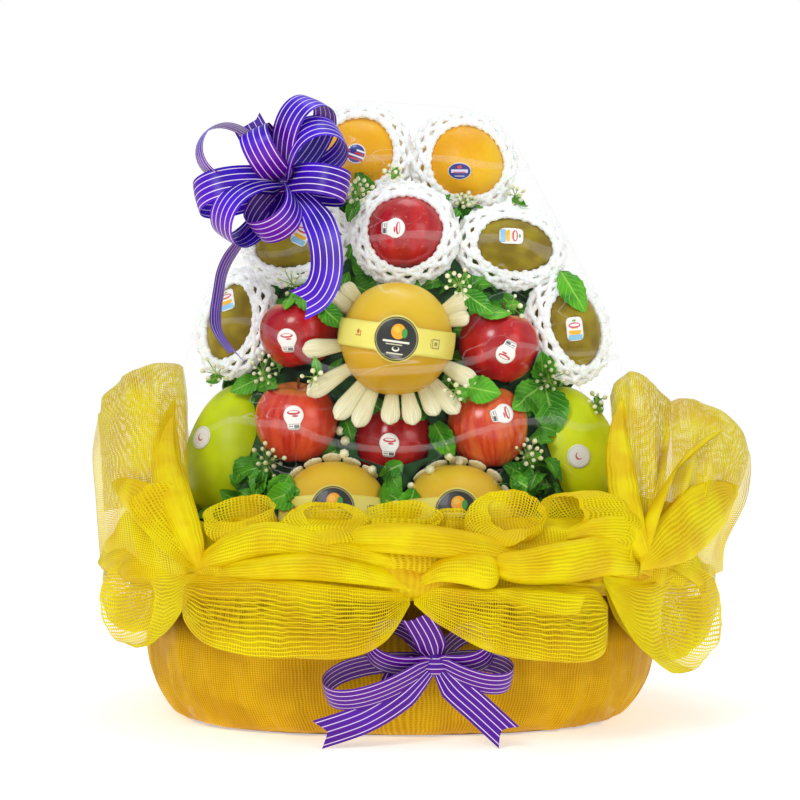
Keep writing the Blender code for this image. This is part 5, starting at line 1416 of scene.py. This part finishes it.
# name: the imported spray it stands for, middle in the frame, leaves as (direction, length, width) in
# degrees and metres, number of buds, spread of the cluster, direction it points
SPRIGS = [
    ("left", "spray_left", 260, 378, [(205, 0.030, 0.019), (340, 0.020, 0.012)], 16, 0.016, 60),
    ("left_low", "spray_left_low", 262, 466, [(258, 0.028, 0.020), (200, 0.022, 0.014)], 16, 0.016, 40),
    ("right", "spray_right", 545, 384, [(100, 0.030, 0.024), (212, 0.038, 0.029),
    (283, 0.046, 0.036)], 16, 0.015, 60),
    ("right_low", "spray_right_low", 523, 461, [(265, 0.028, 0.024), (20, 0.018, 0.012)], 16, 0.014, 50),
    ("upper_right", "spray_upper_right", 462, 291, [(325, 0.034, 0.020)], 13, 0.014, 110),
    ("upper_left", "spray_upper_left", 295, 289, [(322, 0.034, 0.020), (250, 0.020, 0.012)], 9, 0.014, 120),
    ("top_left", "spray_top_left", 357, 197, [(250, 0.024, 0.014)], 16, 0.012, 70),
    ("top_right", None, 462, 206, [(240, 0.014, 0.009)], 14, 0.010, 60),
    ("left_edge", None, 222, 376, [(200, 0.016, 0.010)], 9, 0.014, 160),
    ("middle_left", None, 318, 375, [(100, 0.016, 0.009)], 7, 0.010, 210),
    ("middle_right", None, 459, 386, [(290, 0.016, 0.010)], 8, 0.011, 240),
    ("far_right", None, 596, 396, [(290, 0.016, 0.010)], 8, 0.011, 280),
    ("crown", None, 392, 178, [(60, 0.012, 0.008)], 9, 0.009, 80),
    ("under_kiwi", None, 506, 306, [(10, 0.014, 0.009)], 4, 0.013, 0),
    ("right_shoulder", None, 512, 198, [(330, 0.016, 0.010)], 8, 0.009, 30),
]
STALK_RADIUS = 0.00045
BUD_RADIUS = 0.0021
LOOSE_STALK_RADIUS = 0.0006
LOOSE_BUD_RADIUS = 0.0040
LEAF_LIFT = 0.0012
# where a leaf, and the foot of a sprig, feel for what is under them
LEAF_FEELERS = [(0, 0), (0.003, 0), (-0.003, 0), (0, 0.003), (0, -0.003)]
SPRIG_FEELERS = [(dx, dz) for dx in (-0.006, 0, 0.006) for dz in (-0.006, 0, 0.006)]
# single leaves laid on the heap: middle in the frame, direction, length, width
SINGLE_LEAVES = [
    (474, 311, 356, 0.032, 0.014), (318, 303, 318, 0.032, 0.020), (463, 386, 348, 0.034, 0.026),
    (396, 476, 252, 0.030, 0.020), (386, 466, 300, 0.026, 0.016), (404, 463, 205, 0.024, 0.016),
    (540, 398, 300, 0.030, 0.024),
    (432, 420, 300, 0.036, 0.022), (300, 490, 200, 0.034, 0.026), (290, 474, 240, 0.030, 0.026),
    (508, 474, 330, 0.034, 0.026),
    (560, 270, 300, 0.044, 0.026), (470, 300, 60, 0.026, 0.012), (415, 488, 250, 0.030, 0.020),
    (384, 492, 330, 0.026, 0.018),
]
# loose buds in short rows, in the frame
BUD_ROWS = [(340, 431), (345, 441), (344, 454), (448, 446), (449, 456), (459, 462), (411, 486), (403, 497), (396, 503),
            (430, 470), (372, 470)]

cover_trees = []
for thing in scene.objects:
    if thing.type == "MESH" and (thing.name in {p.name for p in fruit_pieces.values()}
            or thing.name.startswith(("foam_sleeve", "petals_", "packed_leaves"))):
        cover_trees.append(surface_of(thing))


def nearest_front(x, z, deepest):
    """Depth of the first thing met by going in from the front at x, z."""
    found = deepest
    for tree_of in cover_trees:
        hit = tree_of.ray_cast(Vector((x, -0.6, z)), Vector((0, 1, 0)))[0]
        if hit is not None and hit.y < found:
            found = hit.y
    return found


def depth_seen(across, down, deepest=0.0):
    """Depth of the first thing met at a place in the frame."""
    probe = view_point(across, down, -0.10)
    return nearest_front(probe.x, probe.z, deepest)


def draped_leaf(work, layer, root, direction, length, width):
    """Lays a serrated leaf over what is under it, starting at a point."""
    blade_mesh = leaf_blade(length, width, 12, 0.5, 0.25)
    turn = math.radians(direction - 90)
    deepest = root.y + 0.012
    made = {}
    for vert in blade_mesh.verts:
        x = root.x + vert.co.x * math.cos(turn) - vert.co.y * math.sin(turn)
        z = root.z + vert.co.x * math.sin(turn) + vert.co.y * math.cos(turn)
        t = vert.co.y / length
        under = min(nearest_front(x + dx, z + dz, deepest) for dx, dz in LEAF_FEELERS)
        y = min(under, root.y + 0.009) - LEAF_LIFT - vert.co.z * 0.8 - 0.002 * t
        made[vert] = work.verts.new((x, y, z))
    old = blade_mesh.loops.layers.uv["leaf"]
    for face in blade_mesh.faces:
        copy = work.faces.new([made[v] for v in face.verts])
        for loop, source in zip(copy.loops, face.loops):
            loop[layer].uv = source[old].uv
    blade_mesh.free()


def lay_leaves(name, leaves):
    """A piece made of draped leaves, each a root, a direction, a length and a width."""
    work = bmesh.new()
    layer = work.loops.layers.uv.new("leaf")
    for leaf in leaves:
        draped_leaf(work, layer, *leaf)
    belong(show(name, work, leaf_bright))


bud_shape = bmesh.new()
bmesh.ops.create_uvsphere(bud_shape, u_segments=7, v_segments=5, radius=1.0)
for vert in bud_shape.verts:
    vert.co.z = vert.co.z * 1.12 + 0.3
    if vert.co.z > 1.1:
        vert.co.x *= 0.72
        vert.co.y *= 0.72
cup = bmesh.ops.create_cone(bud_shape, cap_ends=True, segments=6, radius1=0.35, radius2=0.86, depth=0.9)["verts"]
for vert in cup:
    vert.co.z -= 0.5
for face in bud_shape.faces:
    face.material_index = 1 if all(v in cup for v in face.verts) else 0
bud_skins = [bud_cream, stalk_green]
one_bud = show("one_bud", bud_shape, bud_skins)

budded_stalks, start, end = new_tree("budded_stalks", {
    "Bud": "Object", "Stalk radius": "Float", "Bud radius": "Float", "Seed": "Int"})
tree = budded_stalks
lines = put(tree, "GeometryNodeMeshToCurve", {"Mesh": start.outputs["Geometry"]})
ring = put(tree, "GeometryNodeCurvePrimitiveCircle", {"Resolution": 5, "Radius": start.outputs["Stalk radius"]})
stalks = put(tree, "GeometryNodeCurveToMesh", {"Curve": lines, "Profile Curve": ring})
stalks = put(tree, "GeometryNodeSetMaterial", {"Geometry": stalks, "Material": stalk_green})
tip = put(tree, "GeometryNodeInputNamedAttribute", {"Name": "tip"}, data_type="FLOAT_VECTOR").outputs["Attribute"]
long_enough = put(tree, "VectorMath", {0: tip}, operation="LENGTH").outputs["Value"]
is_tip = put(tree, "FunctionNodeCompare", {0: long_enough, 1: 0.5}, data_type="FLOAT", operation="GREATER_THAN")
aim = put(tree, "FunctionNodeAlignRotationToVector", {"Vector": tip}, axis="Z")
size = put(tree, "FunctionNodeRandomValue", {2: 0.72, 3: 1.2, "Seed": start.outputs["Seed"]}, data_type="FLOAT")
scaled = calc(tree, "MULTIPLY", size.outputs[1], start.outputs["Bud radius"])
bud_info = put(tree, "GeometryNodeObjectInfo", {"Object": start.outputs["Bud"], "As Instance": True})
buds = put(tree, "GeometryNodeInstanceOnPoints", {
    "Points": start.outputs["Geometry"], "Selection": is_tip, "Instance": bud_info.outputs["Geometry"],
    "Rotation": aim, "Scale": scaled})
end_tree(tree, end, [stalks, buds])


def sprig_base(root, buds, spread, heading, seed):
    """Edges of a branching stalk, with a direction kept at each tip."""
    draw = random.Random(seed)
    work = bmesh.new()
    tips = work.verts.layers.float_vector.new("tip")
    foot = work.verts.new(root)
    lead = Vector((math.cos(math.radians(heading)), 0, math.sin(math.radians(heading))))
    hub = work.verts.new(root + lead * spread * 0.35 + Vector((0, -0.004, 0)))
    work.edges.new((foot, hub))
    for k in range(buds):
        angle = 2 * math.pi * k * 0.618
        reach = spread * math.sqrt((k + 0.6) / buds) * draw.uniform(0.8, 1.1)
        x = hub.co.x + math.cos(angle) * reach + lead.x * spread * 0.2
        z = hub.co.z + math.sin(angle) * reach + lead.z * spread * 0.2
        top = min(nearest_front(x, z, root.y + 0.014), nearest_front(x + 0.002, z, root.y + 0.014)) - 0.0042
        top = min(top, root.y + 0.004) - 0.005 * (1 - reach / spread) - draw.uniform(0, 0.002)
        spot = Vector((x, top, z))
        half = hub.co.lerp(spot, 0.55) + Vector((0, 0.0012, 0))
        middle = work.verts.new(half)
        bud = work.verts.new(spot)
        work.edges.new((hub, middle))
        work.edges.new((middle, bud))
        bud[tips] = (spot - half).normalized() + Vector((0, -0.9, 0.2))
    return mesh_from(work, "sprig")


for number, (name, node, across, down, leaves, buds, spread, heading) in enumerate(SPRIGS):
    probe = view_point(across, down, depth_seen(across, down, 0.03))
    depth = min(nearest_front(probe.x + dx, probe.z + dz, 0.03) for dx, dz in SPRIG_FEELERS)
    root = view_point(across, down, depth - 0.002)
    sprig = grown("sprig_" + name, sprig_base(root, buds, spread, heading, 70 + number), budded_stalks,
                  {"Bud": one_bud, "Stalk radius": STALK_RADIUS, "Bud radius": BUD_RADIUS, "Seed": number},
                  bud_skins)
    belong(sprig, node)
    lay_leaves("leaves_" + name, [(root, *leaf) for leaf in leaves])

lay_leaves("leaves_single", [(view_point(across, down, depth_seen(across, down) - 0.001), *leaf)
                             for across, down, *leaf in SINGLE_LEAVES])

work = bmesh.new()
tips = work.verts.layers.float_vector.new("tip")
for across, down in BUD_ROWS:
    spot = view_point(across, down, depth_seen(across, down) - 0.0040)
    bud = work.verts.new(spot)
    foot = work.verts.new(spot + Vector((0.001, 0.010, -0.002)))
    work.edges.new((bud, foot))
    bud[tips] = (0.1, -1.0, 0.2)
bud_rows = grown("bud_rows", mesh_from(work, "bud_rows"), budded_stalks,
                 {"Bud": one_bud, "Stalk radius": LOOSE_STALK_RADIUS, "Bud radius": LOOSE_BUD_RADIUS, "Seed": 3},
                 bud_skins)
belong(bud_rows)
bpy.data.objects.remove(one_bud)

# ---------------------------------------------------------------- ribbon bows
# Two bows of stiff satin ribbon with fine white pinstripes: a full one tied at the upper left of
# the heap, and a flatter one pinned to the net in front.
ribbon_satin, tree, shader = new_material("ribbon_satin", {"Roughness": 0.36, "Specular IOR Level": 0.28})
own = put(tree, "UVMap", uv_map="ribbon")
parts = put(tree, "SeparateXYZ", {0: own})
place = object_space(tree)
step = calc(tree, "FRACT", calc(tree, "MULTIPLY", parts.outputs["X"], 5.0))
step = calc(tree, "ABSOLUTE", calc(tree, "SUBTRACT", step, 0.5))
stripe = remap(tree, step, 0.050, 0.085, 1.0, 0.0)
patches = cloudy(tree, place, 0.045, 0.36, 0.66)
# painted reflection: where the ribbon faces downward, its violet is tinted towards magenta
lie = part_of(tree, put(tree, "NewGeometry").outputs["Normal"], "Z")
level = part_of(tree, place, "Z")
satin = blend_colours(tree, patches, "24069A", "4A12DC")
painted_tint = remap(tree, lie, 0.45, -0.55, 0.0, 0.80)
satin = blend_colours(tree, painted_tint, satin, "6A0698")
# painted shade: ribbon lower than about 24 cm, as in the bow at the front, is tinted a darker, redder purple towards
# the bottom
painted_tint = remap(tree, level, 0.24, 0.12, 0.0, 0.60)
satin = blend_colours(tree, painted_tint, satin, "52048A")
satin = blend_colours(tree, stripe, satin, "F0DCF4")
ribs = calc(tree, "SINE", calc(tree, "MULTIPLY", parts.outputs["Y"], 5200.0))
finish_skin(tree, shader, satin, ribs, 0.05, 0.0002)

TOP_KNOT = (-0.1020, -0.1030, 0.4830)
TOP_WIDTH = 0.0280
# loops: heading in the upright plane, tilt to the front, length, breadth, roll of the ribbon
TOP_LOOPS = [
    (68, 10, 0.077, 0.026, 58), (45, 20, 0.068, 0.025, 46), (121, 30, 0.056, 0.018, 78), (153, 14, 0.082, 0.024, 14),
    (191, 12, 0.079, 0.024, 108), (220, 26, 0.076, 0.026, 128), (255, 38, 0.060, 0.022, 40),
    (354, 30, 0.064, 0.018, 76),
]
# tails: the line each follows, how its width is turned at its two ends, and how far it stands edge on
TOP_TAILS = {
    "right": ([(-0.102, -0.107, 0.483), (-0.080, -0.122, 0.461), (-0.066, -0.140, 0.435), (-0.063, -0.148, 0.405),
               (-0.071, -0.153, 0.384), (-0.088, -0.155, 0.374)], (50, -45), 0.06),
    "left": ([(-0.104, -0.101, 0.480), (-0.1365, -0.100, 0.436), (-0.153, -0.099, 0.412), (-0.159, -0.100, 0.389),
              (-0.160, -0.112, 0.355), (-0.140, -0.135, 0.328)], (150, 160), 3.4),
    "up": ([(-0.102, -0.100, 0.483), (-0.121, -0.094, 0.512), (-0.136, -0.090, 0.538)], (40, 40), 0.06),
}
FRONT_KNOT = (0.0300, -0.1880, 0.0720)
FRONT_WIDTH = 0.0255
FRONT_LOOPS = [(160, -4, 0.060, 0.019, 46), (194, 4, 0.097, 0.018, 52), (22, -6, 0.050, 0.018, 130),
               (350, 4, 0.066, 0.013, 128)]
FRONT_TAILS = {
    "left": ([(0.030, -0.190, 0.072), (0.002, -0.1940, 0.046), (-0.030, -0.1960, 0.026), (-0.070, -0.1960, 0.012)],
             (140, 104), 0.06),
    "right": ([(0.030, -0.190, 0.072), (0.046, -0.1930, 0.052), (0.066, -0.1950, 0.034), (0.092, -0.1960, 0.010)],
              (40, 54), 0.06),
    "inner": ([(0.030, -0.186, 0.072), (0.002, -0.1850, 0.062), (-0.010, -0.1850, 0.036)], (150, 178), 0.06),
    "strap": ([(0.030, -0.190, 0.074), (0.024, -0.1980, 0.094), (0.012, -0.2100, 0.116)], (24, 8), 0.06),
}


def ribbon_along(name, line, widths, headings, notch=0.0):
    """A ribbon that follows a line, with its stripes' coordinates across and along it in metres."""
    work = bmesh.new()
    layer = work.loops.layers.uv.new("ribbon")
    rows, gone = [], 0.0
    for i, spot in enumerate(line):
        way = (line[min(i + 1, len(line) - 1)] - line[max(i - 1, 0)]).normalized()
        wide = (headings[i] - way * headings[i].dot(way)).normalized()
        flat = way.cross(wide)
        gone += (spot - line[max(i - 1, 0)]).length
        row = []
        for j in range(9):
            side = j / 4 - 1
            back = notch * max(0.0, 1 - abs(side)) * max(0.0, (i - len(line) + 5) / 4) if notch else 0.0
            cup = flat * (widths[i] * 0.035 * (side * side - 0.5))
            row.append((work.verts.new(spot + wide * (widths[i] / 2 * side) + cup - way * back), (j / 8, gone - back)))
        rows.append(row)
    fill_grid(work, layer, rows)
    made = show(name, work, ribbon_satin)
    belong(made)
    return made


def tie_bow(name, node, knot, width, loops, tails, knot_size):
    """A bow with its loops, its tails and the knot that hides where they meet."""
    middle = Vector(knot)
    for k, (heading, tilt, length, breadth, roll) in enumerate(loops):
        h, t, r = (math.radians(a) for a in (heading, tilt, roll))
        along = Vector((math.cos(h) * math.cos(t), -math.sin(t), math.sin(h) * math.cos(t)))
        side = Vector((-math.sin(h), 0, math.cos(h)))
        front = along.cross(side)
        opening = side * math.cos(r) + front * math.sin(r)
        wide = along.cross(opening)
        line, widths = [], []
        for i in range(49):
            t = i / 48
            turn = 2 * math.pi * (0.035 + 0.93 * t)
            out = (1 - math.cos(turn)) / 2
            line.append(middle + along * (length * out) + opening * (breadth * math.sin(turn) * math.sqrt(out) * 1.3))
            widths.append(width * min(1.0, 0.30 + 2.2 * math.sin(math.pi * t)))
        made = ribbon_along(f"{name}_loop_{k}", line, widths, [wide] * len(line))
        if k == 0:
            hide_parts(node)
    for key, (points, ends, edge_on) in tails.items():
        line = smooth_through(points, 41)
        headings, widths = [], []
        for i in range(41):
            turn = math.radians(ends[0] + (ends[1] - ends[0]) * i / 40)
            headings.append(Vector((math.cos(turn), -edge_on, math.sin(turn))))
            widths.append(width * min(1.0, 0.25 + 2.4 * i / 40))
        ribbon_along(f"{name}_tail_{key}", line, widths, headings, 0.010)
    ball = bmesh.new()
    layer = ball.loops.layers.uv.new("ribbon")
    bmesh.ops.create_uvsphere(ball, u_segments=24, v_segments=16, radius=1.0)
    for vert in ball.verts:
        pinch = 1 - 0.18 * math.cos(vert.co.z * 9.0) * 0.5
        half_x, half_y, half_z = knot_size
        vert.co = Vector((vert.co.x * half_x * pinch, vert.co.y * half_y * pinch, vert.co.z * half_z)) + middle
    for face in ball.faces:
        for loop in face.loops:
            loop[layer].uv = ((loop.vert.co.z - middle.z) / (2 * knot_size[2]) + 0.5, loop.vert.co.x)
    belong(show(name + "_knot", ball, ribbon_satin))


tie_bow("bow_top", "bow_top", TOP_KNOT, TOP_WIDTH, TOP_LOOPS, TOP_TAILS, (0.011, 0.010, 0.011))
tie_bow("bow_front", "bow_front", FRONT_KNOT, FRONT_WIDTH, FRONT_LOOPS, FRONT_TAILS, (0.011, 0.007, 0.011))

# ---------------------------------------------------------------- clear film
# Clear film is stretched over the whole heap and tucked in behind the net.  It creases over the
# fruit; the short white streaks along its creases are painted highlights, and its faint whitening,
# stronger towards grazing angles and in pale bands, is painted reflection.
clear_film, tree, shader = new_material("film_clear", {"Roughness": 0.12, "Base Color": colour("FFFFFF")})
place = object_space(tree)
stretch = calc_vector(tree, "MULTIPLY", place, (9.0, 9.0, 30.0))
bent = put(tree, "TexNoise", {"Vector": place, "Scale": 7.0, "Detail": 1.0})
bent = calc_vector(tree, "SCALE", bent.outputs["Color"], 3.0)
spot = calc_vector(tree, "ADD", stretch, bent)
creases = put(tree, "TexNoise", {"Vector": spot, "Scale": 1.4, "Detail": 1.0, "Roughness": 0.4})
ridge = calc(tree, "ABSOLUTE", calc(tree, "SUBTRACT", creases, 0.5))
# painted highlights: short white streaks along the creases, in scattered patches
line_mask = remap(tree, ridge, 0.0, 0.007, 1.0, 0.0)
where = put(tree, "TexNoise", {"Vector": place, "Scale": 13.0, "Detail": 1.0})
where = remap(tree, where, 0.44, 0.60)
glint = calc(tree, "MULTIPLY", line_mask, where)
# painted reflection: the white film shows more towards grazing angles and in faint pale bands
grazing = put(tree, "LayerWeight", {"Blend": 0.25})
painted_sheen = remap(tree, grazing.outputs["Facing"], 0.35, 1.0, 0.005, 0.09)
level = calc(tree, "FRACT", calc(tree, "MULTIPLY", part_of(tree, spot, "Z"), 0.42))
band = remap(tree, level, 0.90, 0.93, 0.0, 0.08)
painted_sheen = calc(tree, "ADD", painted_sheen, band)
glint = calc(tree, "MULTIPLY_ADD", glint, 0.20, painted_sheen)
bump = put(tree, "Bump", {"Height": creases, "Strength": 0.6, "Distance": 0.004})
feed(tree, shader, {"Alpha": glint, "Normal": bump})

FILM_FOOT = 0.1900
FILM_CLEAR = 0.0008
# the film lies in many narrow panels: elevation of each ring of them, and how many go round
FILM_PANELS = [(0, 30), (14, 30), (28, 26), (42, 22), (56, 16), (72, 9), (90, 1)]
covered = []
for thing in scene.objects:
    if thing.type == "MESH" and thing.name.startswith(tuple(p.name for p in fruit_pieces.values())
            + ("foam_sleeve", "petals", "band_", "sprig_", "bud_rows")):
        covered += [v.co.copy() for v in list(thing.data.vertices)[::3] if v.co.z > FILM_FOOT]
dome = bmesh.new()
bmesh.ops.create_cube(dome, size=2.0)
planes = [(Vector((0, 0, -1)), -FILM_FOOT)]
for elevation, number in FILM_PANELS:
    for k in range(number):
        flat, rise = 2 * math.pi * k / number, math.radians(elevation)
        way = Vector((math.cos(flat) * math.cos(rise), math.sin(flat) * math.cos(rise), math.sin(rise)))
        planes.append((way, max(way.dot(p) for p in covered) + FILM_CLEAR))
for way, reach in planes:
    bmesh.ops.bisect_plane(dome, geom=list(dome.verts) + list(dome.edges) + list(dome.faces), dist=1e-7,
                           plane_co=way * reach, plane_no=way, clear_outer=True)
    rim = [e for e in dome.edges if e.is_boundary]
    if rim:
        bmesh.ops.contextual_create(dome, geom=rim)
bmesh.ops.delete(dome, geom=[f for f in dome.faces if f.normal.z < -0.5], context="FACES")
for _ in range(3):
    bmesh.ops.triangulate(dome, faces=dome.faces)
    bmesh.ops.subdivide_edges(dome, edges=[e for e in dome.edges if e.calc_length() > 0.016], cuts=1)
bmesh.ops.triangulate(dome, faces=dome.faces)
bmesh.ops.recalc_face_normals(dome, faces=dome.faces)
film_area = sum(f.calc_area() for f in dome.faces)
film = show("film_sheet", dome, clear_film)
belong(film, "film_wrap")
